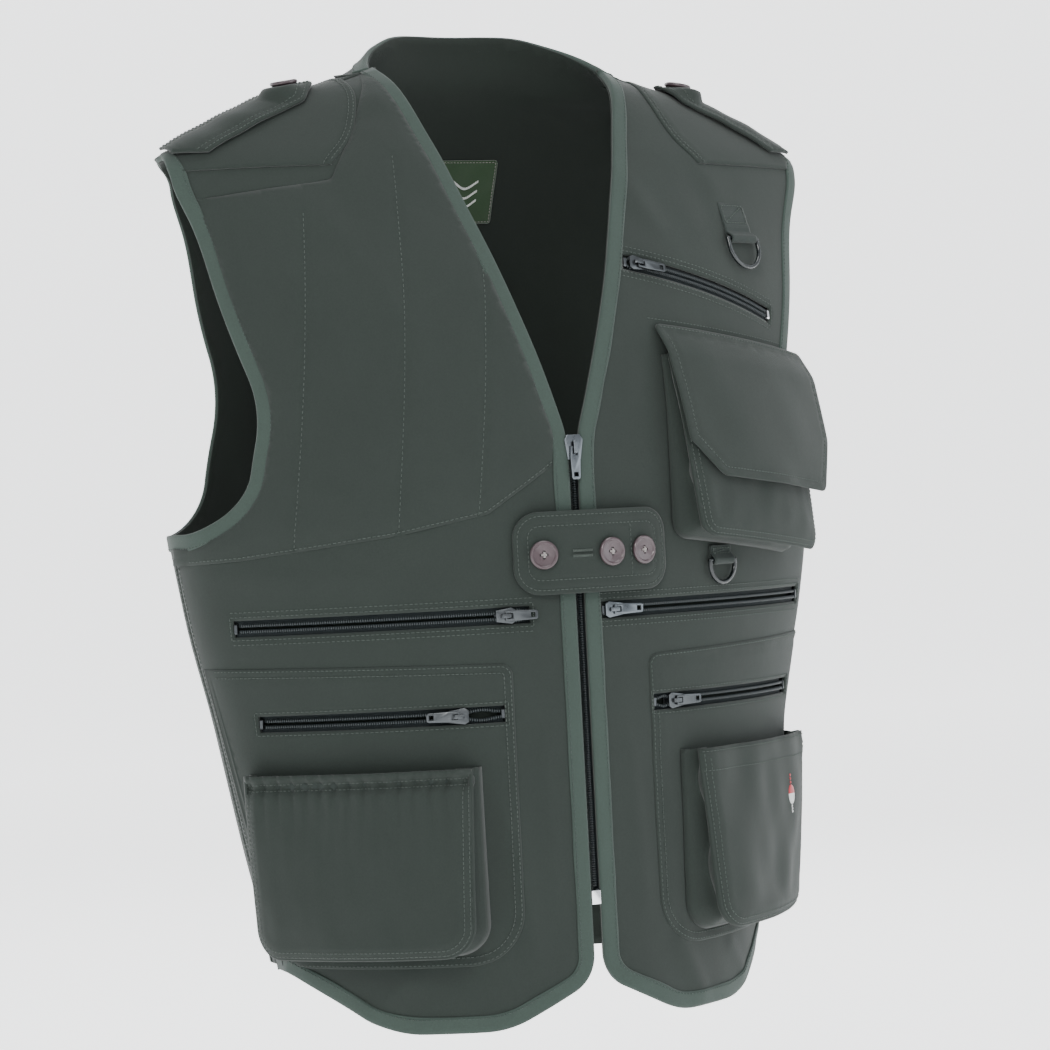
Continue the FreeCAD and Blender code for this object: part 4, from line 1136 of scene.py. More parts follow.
def make_back():
    yoke = level(up(YOKE_Z), -260, 260, 110)

    def yoke_step(spots):
        return 0.5 * ease(spots[:, 1] - up(YOKE_Z), -0.5, 2.0)
    made = cloth("back_shell", BACK_LINES + [(yoke, False)], back_keep, WRAP_BACK, "cloth",
                 yoke_step, SHELL_THICK, 4.4)
    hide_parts("back_panel")

    edges = BACK_LINES[:2] + BACK_LINES[4:6]
    # The inside of the back wears the darker lining colour, which holds painted shade of the interior.
    made = cloth("back_inside", BACK_LINES, back_keep, WRAP_BACK, "lining",
                 lambda spots: lining_lift(spots, edges), LINING_THICK, 6.5)
    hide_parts("back_lining")


BIND = [(11, 0.55), (10.5, 1.0), (9, 1.1), (5, 1.0), (1.6, 1.05), (0.2, 0.75), (-0.3, -0.3),
        (-0.1, -1.5), (0.8, -2.35), (5, -2.5), (10.5, -2.4)]
BIND_ROW = 9.3


def wavy(rows, seed):
    """Binding section whose inner edge and height wander a little along its length."""
    def made(line):
        count = len(line)
        wander = ripple(np.stack([np.arange(count) * 3.0, np.zeros(count)], axis=1), seed, 40)
        every = np.broadcast_to(np.array(rows, float), (count, len(rows), 2)).copy()
        every[:, :4, 0] += 0.35 * wander[:, None]
        every[:, 1:5, 1] += 0.18 * np.roll(wander, 7)[:, None]
        return every
    return made


def off_line(line, distance, closed=False):
    """The line moved to its left, in the chart."""
    flat = np.array(line, float)
    return [tuple(p) for p in flat + left_of(flat, closed) * distance]


def beside(line, distance, chart, closed=False):
    """The line moved to its left by a distance that is measured on the cloth."""
    flat = np.array(line, float)
    moved = np.array(off_line(line, distance, closed))
    reach = np.linalg.norm(chart.at(moved) - chart.at(flat), axis=1) / abs(distance)
    return [tuple(p) for p in flat + (moved - flat) / np.maximum(reach, 1)[:, None]]


def bound(name, line, chart, nodes, threads, inward, closed=False, seed=0):
    """Binding folded over an edge, with a row of stitches on both faces."""
    uneven = wavy(BIND, seed)
    flat = np.array(line, float)
    edge = np.array(beside(line, BIND_ROW, chart, closed)) - flat
    share = np.linalg.norm(edge, axis=1) / BIND_ROW

    def rows(path):
        section = np.array(uneven(path))
        section[:, :, 0] *= share[:, None]
        return section
    made = swept(name, line, rows, chart, "binding", closed, "vest", inward)
    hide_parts(*nodes)
    row = beside(line, inward * BIND_ROW, chart, closed)
    threads.row(row, chart, 1.12, closed=closed)
    threads.row(row, chart, -2.6, closed=closed)


def make_bindings():
    threads = Threads("binding_stitches", "tape_thread")
    for sign, side in ((-1, "right"), (1, "left")):
        bound(side + "_front_edging", FRONT_EDGE[sign], WRAP, [side + "_front_binding"],
              threads, -sign, seed=SEED + sign)
        bound(side + "_armhole_edging", ARM_EDGE[sign], WRAP, [side + "_armhole_binding"],
              threads, outward_turn(ARM_EDGE[sign]), True, SEED + 3 * sign)
    bound("back_hem_edging", BACK_HEM, WRAP_BACK, ["back_edge_binding"], threads, 1, seed=3)
    bound("back_neck_edging", BACK_NECK, WRAP_BACK, [], threads, -1, seed=4)
    threads.finish()


def outward_turn(outline):
    """Which side of a closed line lies outside it: left is 1, right is -1."""
    return -1.0 if signed_area(outline) > 0 else 1.0


make_fronts()
make_back()
make_bindings()

# ---------------------------------------------------------------- zips

TAPE_LIFT = -3.3
ZIP_ROW = 7.6
COIL_REACH = (0.75, 3.2)


class Straight:
    """The main zip's line behind the front edges, with the same measures as a curved zip."""

    def __init__(self, node):
        low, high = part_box(node)
        self.top = high[2] / MM
        self.length = (high[2] - low[2]) / MM
        self.face = low[1] / MM - 0.1
        self.wide = max(abs(low[0]), abs(high[0])) / MM

    def at(self, distance, across=0.0, lift=0.0):
        distance, across, lift = np.broadcast_arrays(*[np.asarray(k, float) for k in (
            distance, across, lift)])
        return np.stack([across, self.face - lift, self.top - distance], axis=-1)


def zip_tapes(name, zipper, begin, finish, reach, nodes, spread=None, thick=0.55):
    """Both woven tapes, each a flat strip with a rolled inner edge."""
    spots, faces, grain = [], [], []
    stations = np.linspace(begin, finish, int((finish - begin) / 3) + 2)
    for sign in (1, -1):
        rows = [(0.85, 0.0), (1.4, 0.12), (3.6, 0.05), (reach - 0.4, 0.0), (reach, -0.15),
                (reach, -thick), (3.6, -thick), (0.85, -thick)]
        gaps = np.zeros(len(stations)) if spread is None else spread(stations)
        block = np.stack([zipper.at(stations, sign * (across + gaps), TAPE_LIFT + lift)
                          for across, lift in rows], axis=1)
        base = sum(len(k) for k in spots)
        n, m = block.shape[:2]
        index = base + np.arange(n * m).reshape(n, m)
        quads = np.stack([index[:-1], index[1:], np.roll(index[1:], -1, axis=1),
                          np.roll(index[:-1], -1, axis=1)], axis=-1).reshape(-1, 4)
        faces += (quads if sign < 0 else quads[:, ::-1]).tolist()
        ends = [index[0].tolist(), index[-1][::-1].tolist()]
        faces += ends if sign < 0 else [end[::-1] for end in ends]
        spots.append(block.reshape(-1, 3))
        grain.append(np.stack([np.repeat(stations, m), np.tile([a for a, _ in rows], n),
                               np.zeros(n * m)], axis=1))
    made = piece(name, np.vstack(spots), faces, "tape", np.vstack(grain))
    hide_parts(*nodes)
    return made


def zip_coil(name, zipper, begin, finish, nodes=(), spread=None, pitch=1.55):
    """Rows of nylon teeth on both tapes, a little apart in the middle for the slider's post."""
    coil = Threads(name, "coil")
    inner, outer = COIL_REACH
    for sign, shift in ((1, 0.0), (-1, 0.5)):
        starts = np.arange(begin + pitch * shift, finish - pitch, pitch)
        gaps = np.zeros(len(starts)) if spread is None else spread(starts)
        shares = np.array([0.0, 0.18, 0.55, 0.85, 1.0])
        rises = np.array([-2.1, -1.1, -0.75, -1.2, -2.2])
        sizes = np.array([0.3, 0.62, 0.56, 0.52, 0.3])
        at = np.broadcast_to(starts[:, None], (len(starts), 5))
        across = sign * (inner + shares[None] * (outer - inner) + gaps[:, None])
        middle = zipper.at(at, across, np.broadcast_to(rises, at.shape))
        out = zipper.at(at, across, rises + 1.0) - middle
        along = np.cross(zipper.at(at, across + 1.0, rises) - middle, out)
        coil.tubes(middle, along, out, sizes)
    made = coil.finish()
    if nodes:
        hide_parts(*nodes)
    return made


def opened(zipper):
    """How far the teeth stand apart between the first stop and the parked slider."""
    def gap(distance):
        share = np.clip(np.asarray(distance) / max(zipper.parked - 2.0, 1.0), 0, 1)
        return 1.5 * np.sin(math.pi * share) ** 2
    return gap


def zip_stop(name, zipper, distance, paint):
    """Metal staple closed over both rows of teeth at a zip's end."""
    rows = [(-3.4, -2.6), (-3.3, -0.7), (-2.6, 0.0), (2.6, 0.0), (3.3, -0.7), (3.4, -2.6)]
    spots = []
    for along in (-1.1, -0.8, 0.8, 1.1):
        shrink = 0.25 if abs(along) > 1 else 0.0
        spots += [zipper.at(distance + along, across * (1 - 0.05 * shrink), lift - shrink)
                  for across, lift in rows]
    count = len(rows)
    faces = [(a * count + k, a * count + k + 1, (a + 1) * count + k + 1, (a + 1) * count + k)
             for a in range(3) for k in range(count - 1)]
    faces += [tuple(range(count))[::-1], tuple(range(3 * count, 4 * count))]
    faces += [tuple(a * count for a in range(4)),
              tuple(a * count + count - 1 for a in range(4))[::-1]]
    made = piece(name, np.array(spots), faces, paint, smooth=False)


def make_pocket_zips():
    """Tapes, teeth, stops, slider and pull of each pocket zip, and the stitches round it."""
    threads = Threads("zip_stitches", "thread")
    for name, zipper in ZIPS.items():
        reach = 6.0 if name == "left_chest" else 8.3
        spread = opened(zipper)
        zip_tapes(name + "_tapes", zipper, -3.8, zipper.length + 3.8, reach, [name + "_zip"],
                  spread)
        zip_coil(name + "_teeth", zipper, 0.4, zipper.length - 0.2, (), spread)
        zip_stop(name + "_first_stop", zipper, -1.2, "gun")
        zip_stop(name + "_last_stop", zipper, zipper.length + 1.2,
                 "bright" if name == "left_chest" else "gun")
        for across in (ZIP_ROW, -ZIP_ROW):
            for share in (1,) if "lower" in name else (1, 1.42):
                line = zip_line(zipper, -4.5, zipper.length + 4.5, across * share)
                threads.row(line, WRAP, seam_lift(name), pitch=3.2)
        for distance in (-4.6, zipper.length + 4.6):
            line = charted(zipper.at(distance, np.linspace(-ZIP_ROW, ZIP_ROW, 6)))
            threads.row(line, WRAP, seam_lift(name), pitch=2.4)
        plating = "nickel" if name == "left_waist" else "gun"
        bevelled(name + "_slider_body", name + "_slider", plating, 0.3)
        bevelled(name + "_pull_tab", name + "_pull", plating, 0.3)
    threads.finish()


def seam_lift(name):
    """Lift of the stitches round a zip: the lower ones lie on the patches."""
    return 1.05 if "lower" in name else 0.1


def make_main_zip():
    line = Straight("left_zip_tape")
    zip_tapes("main_zip_tapes", line, 0, line.length, line.wide - 0.1,
              ["left_zip_tape", "right_zip_tape"])
    low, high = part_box("left_zip_coil")
    zip_coil("main_zip_teeth", line, line.top - high[2] / MM + 0.3, line.top - low[2] / MM,
             ["left_zip_coil", "right_zip_coil"])
    for node, paint in (("zip_top_stops", "gun"), ("insertion_pin", "gun"),
                        ("retainer_box", "bright")):
        bevelled(node + "_metal", node, paint, 0.2)
    bevelled("main_slider_body", "main_slider", "nickel", 0.35)
    bevelled("main_pull_tab", "main_pull", "nickel", 0.3)


# ---------------------------------------------------------------- flat pieces laid on the cloth

PAD_POINTS = [(-260, -322), (-205, -319), (-117, -308), (-60, -297), (-10, -264), (0, -240),
              (0, 20), (-84, 20), (-113, -34), (-136, -74), (-205, -82), (-260, -84)]
PATCH_PLAN = [(-106, -60), (-106, 34), (-238, 34), (-238, -70), (-150, -70)]
PATCH_RADII = [26, 20, 1, 1, 20]
PATCH_LOW = -64
LOWER_PATCH = [(49, -394), (232, -388.6), (232, -588), (49, -588)]


def flattened(outline, place):
    """Closed outline carried into the chart, with its points kept apart."""
    return thinned([place(*p) for p in outline], 0.8)


def edge_rise(spots, lines, high, reach=1.1):
    """Lift of a laid piece: turned down at its own edge."""
    return 0.15 + (high - 0.15) * np.sqrt(ease(gap_to_any(lines, spots), -0.4, reach))


def pucker(spots, lines, depth=0.35, width=1.6, seed=0):
    """Dimples that a row of stitches pulls into the cloth, a little uneven along it."""
    near = gap_to_any(lines, spots)
    uneven = 1 + 0.5 * ripple(spots, SEED + seed, 9)
    return -depth * uneven * np.exp(-(near / width) ** 2) + 0.12 * uneven * np.exp(
        -((near - 3.0) / 2.0) ** 2)


def rolled(near, drop=0.8, reach=1.3):
    """How far an outer face turns down at its cut edge."""
    return drop * (1 - np.sqrt(ease(near, -0.3, reach)))


def above(lift, height=0.1):
    """Lift of stitches that lie on a face."""
    return lambda spots: lift(spots) + height


BIND_EDGE = 9.0
STITCH_CLEAR = 11


def shell_band(sign, width=BIND_EDGE):
    """Spots of a front that are at least a width inside its bound edges."""
    keep = front_keep(sign)

    def kept(spots):
        found = keep(spots)
        found &= gap_to(FRONT_EDGE[sign], spots, False) > width
        found &= gap_to(ARM_EDGE[sign], spots) > width
        return found
    return kept


def make_pad():
    """Padded cover of the right chest, with three quilted channels."""
    outline = [p for p in spaced(rounded(PAD_POINTS, 4), 3) if abs(p[0]) < 236]
    corner = [chart_front(x, z) for x, z in outline if abs(x) < profile(v_at(z))[1] * 0.999]
    band = shell_band(-1)
    pad_xz = rounded(PAD_POINTS, 4)
    patch = shoulder_outline(-1)

    def keep(spots):
        place = form(spots[:, 0], spots[:, 1])
        return band(spots) & inside(pad_xz, place[:, [0, 2]]) & ~inside(patch, spots)
    edge = off_line(FRONT_EDGE[-1], BIND_EDGE)
    arm = off_line(ARM_EDGE[-1], BIND_EDGE * outward_turn(ARM_EDGE[-1]), True)
    quilts = [[chart_front(x + (x2 - x) * t, z + (z2 - z) * t) for t in np.linspace(0, 1, 40)]
              for x, z, x2, z2 in ((-156, -96, -176, -313), (-95, -60, -116, -307),
                                   (-48, -120, -66, -298))]
    lines = [(corner, False), (edge, False), (arm, True), (patch, True)] + [
        (line, False) for line in quilts]

    def lift(spots):
        near = np.minimum(gap_to(corner, spots, False), gap_to(patch, spots))
        fill = 0.35 + 2.1 * np.sqrt(ease(near, -1.0, 16))
        fill -= 1.1 * (1 - ease(np.minimum(gap_to(edge, spots, False), gap_to(arm, spots)), 0, 10))
        fill += pucker(spots, [(line, False) for line in quilts], 0.75, 3.0, 2)
        return fill + 0.3 * ripple(spots, SEED + 9, 38)
    made = cloth("recoil_pad_cover", lines, keep, WRAP, "cloth", lift, 1.0, 3.6,
                 hung=False, lifted=lambda spots: np.full(len(spots), 0.12))
    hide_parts("recoil_pad")
    threads = Threads("pad_stitches", "thread")
    for line in quilts:
        threads.row(run_of(line, keep), WRAP, above(lift), pitch=3.6)
    for distance in (-2.2, 2.2):
        line = run_of(off_line(corner, distance), shell_band(-1, STITCH_CLEAR))
        on_pad = keep(np.array([line[len(line) // 2]]))[0]
        if on_pad:
            threads.row(line, WRAP, above(lift), pitch=3.2)
    threads.finish()


def shoulder_outline(sign):
    plan = [(-sign * x, y) for x, y in spaced(rounded(PATCH_PLAN, PATCH_RADII), 3)]
    return flattened(plan, chart_plan)


def make_shoulders():
    threads = Threads("shoulder_stitches", "thread")
    for sign, side in ((-1, "right"), (1, "left")):
        outline = shoulder_outline(sign)
        arm = off_line(ARM_EDGE[sign], BIND_EDGE * outward_turn(ARM_EDGE[sign]), True)

        def keep(spots, outline=outline, arm=arm):
            place = form(spots[:, 0], spots[:, 1])
            return inside(outline, spots) & ~inside(arm, spots) & (place[:, 2] > PATCH_LOW)
        turn = -outward_turn(outline)
        row = off_line(outline, 5.0 * turn, True)
        low = level(up(PATCH_LOW), min(p[0] for p in outline), max(p[0] for p in outline), 60)
        lines = [(outline, True), (arm, True), (off_line(outline, 1.1 * turn, True), True),
                 (row, True), (low, False)]

        def lift(spots, outline=outline, row=row):
            return edge_rise(spots, [(outline, True)], 0.95) + pucker(spots, [(row, True)], 0.3)
        made = cloth(side + "_shoulder_cloth", lines, keep, WRAP, "cloth", lift, 0.7, 3.4)
        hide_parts(side + "_shoulder_patch")
        for distance in (2.0, 5.0):
            line = run_of(off_line(outline, distance * turn, True), keep)
            threads.row(line, WRAP, 0.98)
    threads.finish()


def run_of(line, keep):
    """Longest stretch of a closed line that keep() accepts, in order."""
    ok = keep(np.array(line))
    if ok.all():
        return line
    start = next(k for k in range(len(line)) if ok[k] and not ok[k - 1])
    best, current = [], []
    for step in range(len(line)):
        k = (start + step) % len(line)
        if ok[k]:
            current.append(line[k])
        elif current:
            best = max(best, current, key=len)
            current = []
    return max(best, current, key=len)


def make_lower_patches():
    threads = Threads("patch_stitches", "thread")
    for sign, side in ((-1, "right"), (1, "left")):
        flat = [(sign * x, z) for x, z in spaced(rounded(LOWER_PATCH, [8, 1, 1, 34]), 3)]
        outline = [chart_front(x, z) for x, z in flat if abs(x) < profile(v_at(z))[1] * 0.999]
        polygon = thinned(outline, 0.8)
        band = shell_band(sign)
        name = side + "_lower"
        turn = -outward_turn(polygon)
        row = off_line(polygon, 6.0 * turn, True)
        hem = off_line(FRONT_EDGE[sign], BIND_EDGE * sign)

        def keep(spots, polygon=polygon, band=band, name=name):
            return inside(polygon, spots) & band(spots) & ~inside(WINDOWS[name], spots)
        lines = [(polygon, True), (off_line(polygon, 1.1 * turn, True), True), (row, True),
                 (hem, False)] + window_lines([name])

        def lift(spots, polygon=polygon, row=row, name=name):
            return (edge_rise(spots, [(polygon, True)], 0.95) + pucker(spots, [(row, True)], 0.35)
                    - lip_drop(spots, [name]))
        made = cloth(side + "_lower_patch_cloth", lines, keep, WRAP, "cloth", lift, 0.7, 3.6)
        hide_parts(side + "_lower_patch")
        for distance in (1.8, 6.0):
            line = run_of(off_line(polygon, distance * turn, True), keep)
            threads.row(line, WRAP, 0.98)
    threads.finish()


make_pocket_zips()
make_main_zip()
make_pad()
make_shoulders()
make_lower_patches()

# ---------------------------------------------------------------- bellows pockets

LOWER_HEADING = 46
CHEST_HEADING = 30


class Pouch:
    """Bellows pocket: a front wall, pleated gussets round three sides and a hemmed mouth."""

    def __init__(self, node, heading, left, right, floor, mouth, depth, slope, corner, tilt=0.0):
        self.node = node
        self.chart = Facing(heading)
        self.left, self.right = left, right
        self.floor, self.mouth = floor, mouth
        self.depth, self.slope = depth, slope
        self.corner, self.tilt = corner, tilt

    def leaned(self, points):
        return [(u, z + self.tilt * (u - self.left)) for u, z in points]

    def across(self, drop, margin, count):
        """Line across the front wall, a drop below its mouth."""
        return self.leaned(level(self.mouth - drop, self.left + margin, self.right - margin, count))

    def top(self, spots):
        """Height of the mouth above each spot."""
        return self.mouth + self.tilt * (spots[:, 0] - self.left)

    def drop(self, spots):
        return self.top(spots) - spots[:, 1]

    def outline(self, inset=0.0):
        low = self.floor + inset
        points = [(self.left + inset, low), (self.right - inset, low),
                  (self.right - inset, self.mouth), (self.left + inset, self.mouth)]
        corner = max(self.corner - inset, 2)
        return thinned(spaced(rounded(self.leaned(points), [corner, corner, 0.5, 0.5]), 3), 0.8)

    def rim(self):
        """Three sewn sides, from the mouth's left down, across and up to its right."""
        outline = self.outline()
        run = run_of(outline, lambda spots: spots[:, 1] + 0.6 <= self.top(spots))
        left_first = run if run[0][0] < run[-1][0] else run[::-1]
        ends = self.leaned([(self.left, self.mouth), (self.right, self.mouth)])
        return [ends[0]] + left_first + [ends[1]]

    def stand(self, spots):
        """Lift of the front wall before its edges turn in."""
        return self.depth + self.slope * self.drop(spots)

    def share(self, spots):
        """Width and height shares across the front wall, each from 0 to 1."""
        across = (spots[:, 0] - self.left) / (self.right - self.left)
        up_share = (spots[:, 1] - self.floor) / (self.top(spots) - self.floor)
        return np.clip(across, 0, 1), np.clip(up_share, 0, 1)


def make_pouch(pouch, name, seed, sag, gathered=False):
    """Front wall, gusset and stitches of a pocket. It returns the wall's lift."""
    chart = pouch.chart
    outline = pouch.outline(1.2)
    inner = pouch.outline(4.0)
    hem_z = 15.0
    hem = pouch.across(hem_z, 1.5, 50)
    seam = pouch.outline(6.0)
    lines = [(outline, True), (inner, True), (seam, True)]
    if not gathered:
        lines.append((hem, False))

    def lift(spots):
        across, rise = pouch.share(spots)
        high = pouch.stand(spots)
        near = gap_to(pouch.rim(), spots, False)
        drop = pouch.drop(spots)
        high = high - 3.6 * (1 - ease(near, -1, 9)) ** 1.5
        high = high - sag * np.sin(math.pi * across) ** 1.5 * ease(rise, 0.25, 1.0)
        high = high + 1.6 * ripple(spots, SEED + seed, 70, 0.6) * ease(near, 2, 26)
        high = high + 0.5 * ripple(spots, SEED + seed + 1, 26, 0.7) * ease(near, 2, 20)
        high = high + pucker(spots, [(seam, True)], 0.4, 1.8, seed) * ease(near, 2, 4)
        if gathered:
            deep = np.exp(-np.abs(drop - 8.0) / 17.0)
            ruffle = np.sin(spots[:, 0] * 0.62 + 1.7 * ripple(spots, SEED + seed + 2, 60))
            ruffle += 0.5 * np.sin(spots[:, 0] * 1.31 + 2.0 * ripple(spots, SEED + seed + 3, 45))
            high = high + 1.25 * deep * ruffle * ease(near, 0, 8)
            high = high - 3.4 * np.exp(-((drop - 8.0) / 3.4) ** 2)
            high = high + 1.6 * ease(-drop, -7.0, 0.0)
        else:
            high = high + 0.55 * ease(hem_z - drop, -0.6, 0.8)
        return np.minimum(high, pouch.stand(spots) + 1.5)
    box_keep = pouch.outline(1.1)

    def keep(spots):
        return inside(box_keep, spots)
    made = cloth(name + "_front", lines, keep, chart, "cloth", lift, 1.2,
                 2.3 if gathered else 3.2)
    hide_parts(pouch.node)

    rim = np.array(pouch.rim())

    def gusset(line):
        high = pouch.stand(line) - 2.6
        wander = ripple(line, SEED + seed + 5, 32)[:, None]
        fold_in = np.array([1.6, 0.4, 1.2, 7.5, 9.5, 7.8, 1.6, -0.6, 0.6, 0.6, 1.4, 9.0, 11.0,
                            9.0, 2.6, 3.4])
        shares = np.array([1.0, 0.97, 0.86, 0.6, 0.52, 0.44, 0.2, 0.02, -0.02, 0.06, 0.22, 0.4,
                           0.52, 0.64, 0.84, 0.97])
        pinch = 1.0 + 0.35 * wander
        inward = fold_in[None] * np.where(fold_in[None] > 4, pinch, 1.0)
        lifts = 1.2 + shares[None] * (high[:, None] - 1.2) + 0.6 * wander * (fold_in[None] > 4)
        return np.stack([np.broadcast_to(inward, lifts.shape), lifts], axis=-1)
    made = swept(name + "_gusset", rim, gusset, chart, "cloth", False, "vest", 1.0)
    threads = Threads(name + "_stitches", "thread")
    for line, least in ((pouch.outline(2.8), 1.0), (seam, 6.4)):
        low_part = run_of(line, lambda spots, least=least: pouch.drop(spots) > least)
        threads.row(low_part, chart, above(lift))
    if gathered:
        for drop in (6.0, 10.0):
            threads.row(pouch.across(drop, 3, 90), chart, above(lift), pitch=2.8)
    else:
        for drop in (hem_z, 2.2):
            threads.row(pouch.across(drop, 1.5, 50), chart, above(lift))
    threads.finish()
    return lift


LOWER_SLOPE = (28 - 15) / (580 - 459)
RIGHT_POUCH = Pouch("right_lower_pocket", -LOWER_HEADING, -118, 34, -580, -459, 14.4,
                    LOWER_SLOPE, 20)
LEFT_POUCH = Pouch("left_lower_pocket", LOWER_HEADING, -34, 118, -580, -459, 14.4,
                   LOWER_SLOPE, 20)
CHEST_POUCH = Pouch("left_chest_pocket", CHEST_HEADING, 4, 136, -318, -197, 7.6, 0.17, 12, -0.12)


def make_elastic():
    """Gathered elastic tape inside the mouth of the right lower pocket."""
    chart = RIGHT_POUCH.chart
    line = level(-466.0, -114, 30, 110)

    def rows(path):
        wave = 0.5 * np.sin(path[:, 0] * 0.9)[:, None]
        base = 12.6 - 3.0 + wave
        inward = np.array([-3.6, 0.0, 3.6, 3.6, 0.0, -3.6])
        lifts = base + np.array([0.0, 0.25, 0.0, -0.9, -0.7, -0.9])[None]
        return np.stack([np.broadcast_to(inward, lifts.shape), lifts], axis=-1)
    made = swept("pocket_elastic", line, rows, chart, "webbing", False, "vest", 1.0)
    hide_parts("right_pocket_elastic")


# ---------------------------------------------------------------- the flap

FLAP_TOP = -176
FLAP_WIDE = 158
FLAP_SEAM = ((1, FLAP_TOP), (FLAP_WIDE, -196))
FLAP_POINTS = [(1, FLAP_TOP), (1, -254), (22, -279), (140, -293), (FLAP_WIDE, -258),
               (FLAP_WIDE, -196)]
FLAP_THICK = 1.7


def flap_drop(spots):
    """How far each spot lies below the flap's seam."""
    (u0, z0), (u1, z1) = FLAP_SEAM
    return z0 + (z1 - z0) * (spots[:, 0] - u0) / (u1 - u0) - spots[:, 1]


def flap_line(first, last, low, count, rise):
    """Line along the flap's seam, a rise above it."""
    return [(u, z + rise) for u, z in zip(np.linspace(first, last, count),
                                          np.linspace(FLAP_TOP, low, count))]


def make_flap():
    chart = Facing(CHEST_HEADING)
    outline = thinned(spaced(rounded(FLAP_POINTS, [4, 5, 9, 9, 6, 4]), 3), 0.8)
    turn = -outward_turn(outline)
    bevel = off_line(outline, 1.1 * turn, True)
    row = off_line(outline, 6.0 * turn, True)
    bend = flap_line(2, 157, -196, 50, -5.0)

    def body_lift(spots):
        drop = flap_drop(spots)
        stand = 5.3 + 0.19 * (FLAP_TOP - spots[:, 1]) + 1.6
        high = FLAP_THICK + (stand - FLAP_THICK) * ease(drop, -6, 22) ** 0.8
        wide = np.clip(spots[:, 0] / FLAP_WIDE, 0, 1)
        high += 1.2 * np.sin(math.pi * wide) * ease(drop, 0, 70)
        return high + 0.8 * ripple(spots, SEED + 21, 60, 0.8) * ease(drop, 4, 40)

    def lift(spots):
        return (body_lift(spots) + pucker(spots, [(row, True)], 0.4, 1.8, 8)
                - rolled(gap_to(outline, spots)))

    def under(spots):
        return body_lift(spots) - FLAP_THICK + rolled(gap_to(outline, spots), 0.5)
    made = cloth("chest_flap_cloth", [(outline, True), (bevel, True), (row, True), (bend, False)],
                 lambda spots: inside(outline, spots), chart, "cloth", lift, FLAP_THICK, 3.2,
                 "chest_flap", lifted=under)
    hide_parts("left_chest_flap")
    threads = Threads("flap_stitches", "thread", "chest_flap")
    threads.row(run_of(row, lambda spots: flap_drop(spots) > 6.3), chart, above(lift))
    threads.row(flap_line(3, 146, -194.5, 60, -2.4), chart, above(lift))
    threads.finish()
    pleat = Threads("flap_seam_stitches", "thread")
    pleat.row(flap_line(-2, 144, -194.5, 60, 4.0), chart, 0.15)
    pleat.finish()


make_pouch(RIGHT_POUCH, "right_bellows", 31, 2.2, gathered=True)
lift_left = make_pouch(LEFT_POUCH, "left_bellows", 41, 2.0)
make_pouch(CHEST_POUCH, "chest_bellows", 51, 0.6)
make_elastic()
make_flap()

# ---------------------------------------------------------------- shoulder straps


def button_axes(node):
    """Middle of a button and three square directions: out of it and two across it."""
    every = corners_of(node)
    middle = every.mean(axis=0)
    _, _, axes = np.linalg.svd(every - middle, full_matrices=False)
    out = axes[2] * np.sign(axes[2] @ (middle * (1, 1, 0) + (0, 0, 60)))
    first = axes[0] - out * (axes[0] @ out)
    first /= np.linalg.norm(first)
    return middle, out, first, np.cross(out, first)


EPAULET_PLAN = [(-124, -18), (-138, -35), (-226, -33), (-226, 0), (-138, 2)]
EPAULET_RADII = [4, 6, 1, 1, 6]
EPAULET_LOW = -54
EPAULET_TOP = 4.4
EPAULET_THICK = 1.7


def make_epaulet(sign, side):
    """Shoulder strap that rests on the underside of its button's plane at the inner end."""
    body = side + "_epaulet"
    fastener = side + "_epaulet_button"
    plan = [(-sign * x, y) for x, y in spaced(rounded(EPAULET_PLAN, EPAULET_RADII), 2)]
    outline = flattened(plan, chart_plan)
    button = corners_of(fastener)
    centre = (button.min(axis=0) + button.max(axis=0)) / 2
    facing = button_axes(fastener)[1]
    under_button = centre + facing * float(np.min((button - centre) @ facing))

    def high(spots):
        foot = WRAP.at(spots, 0.0)
        proud = WRAP.at(spots, 1.0) - foot
        seat = ((under_button - foot) @ facing) / np.maximum(proud @ facing, 0.3) + 0.1
        near = np.linalg.norm(foot - under_button + facing * ((under_button - foot) @ facing)[
            :, None], axis=1)
        free = EPAULET_TOP + 0.5 * ripple(spots, SEED + 61, 40)
        return np.maximum(seat + (free - seat) * ease(near, 8, 17), 2.6)
    turn = -outward_turn(outline)
    near_row = off_line(outline, 1.9 * turn, True)
    far_row = off_line(outline, 6.0 * turn, True)
    low = level(up(EPAULET_LOW), min(p[0] for p in outline) - 4, max(p[0] for p in outline) + 4,
                60)

    def keep(spots):
        return inside(outline, spots) & (spots[:, 1] > up(EPAULET_LOW))

    def lift(spots):
        return (high(spots) + pucker(spots, [(far_row, True)], 0.3, 1.5, 62)
                - rolled(gap_to(outline, spots)))

    def under(spots):
        return np.maximum(high(spots) - EPAULET_THICK, 1.25)
    lines = [(outline, True), (off_line(outline, 1.1 * turn, True), True), (far_row, True),
             (low, False)]
    made = cloth(side + "_strap_cloth", lines, keep, WRAP, "cloth", lift, EPAULET_THICK, 2.6,
                 body, lifted=under)
    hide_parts(side + "_epaulet")
    threads = Threads(side + "_strap_stitches", "thread", body)
    for row in (near_row, far_row):
        threads.row(run_of(row, keep), WRAP, above(lift))
    threads.finish()
    sew_button(fastener, body)


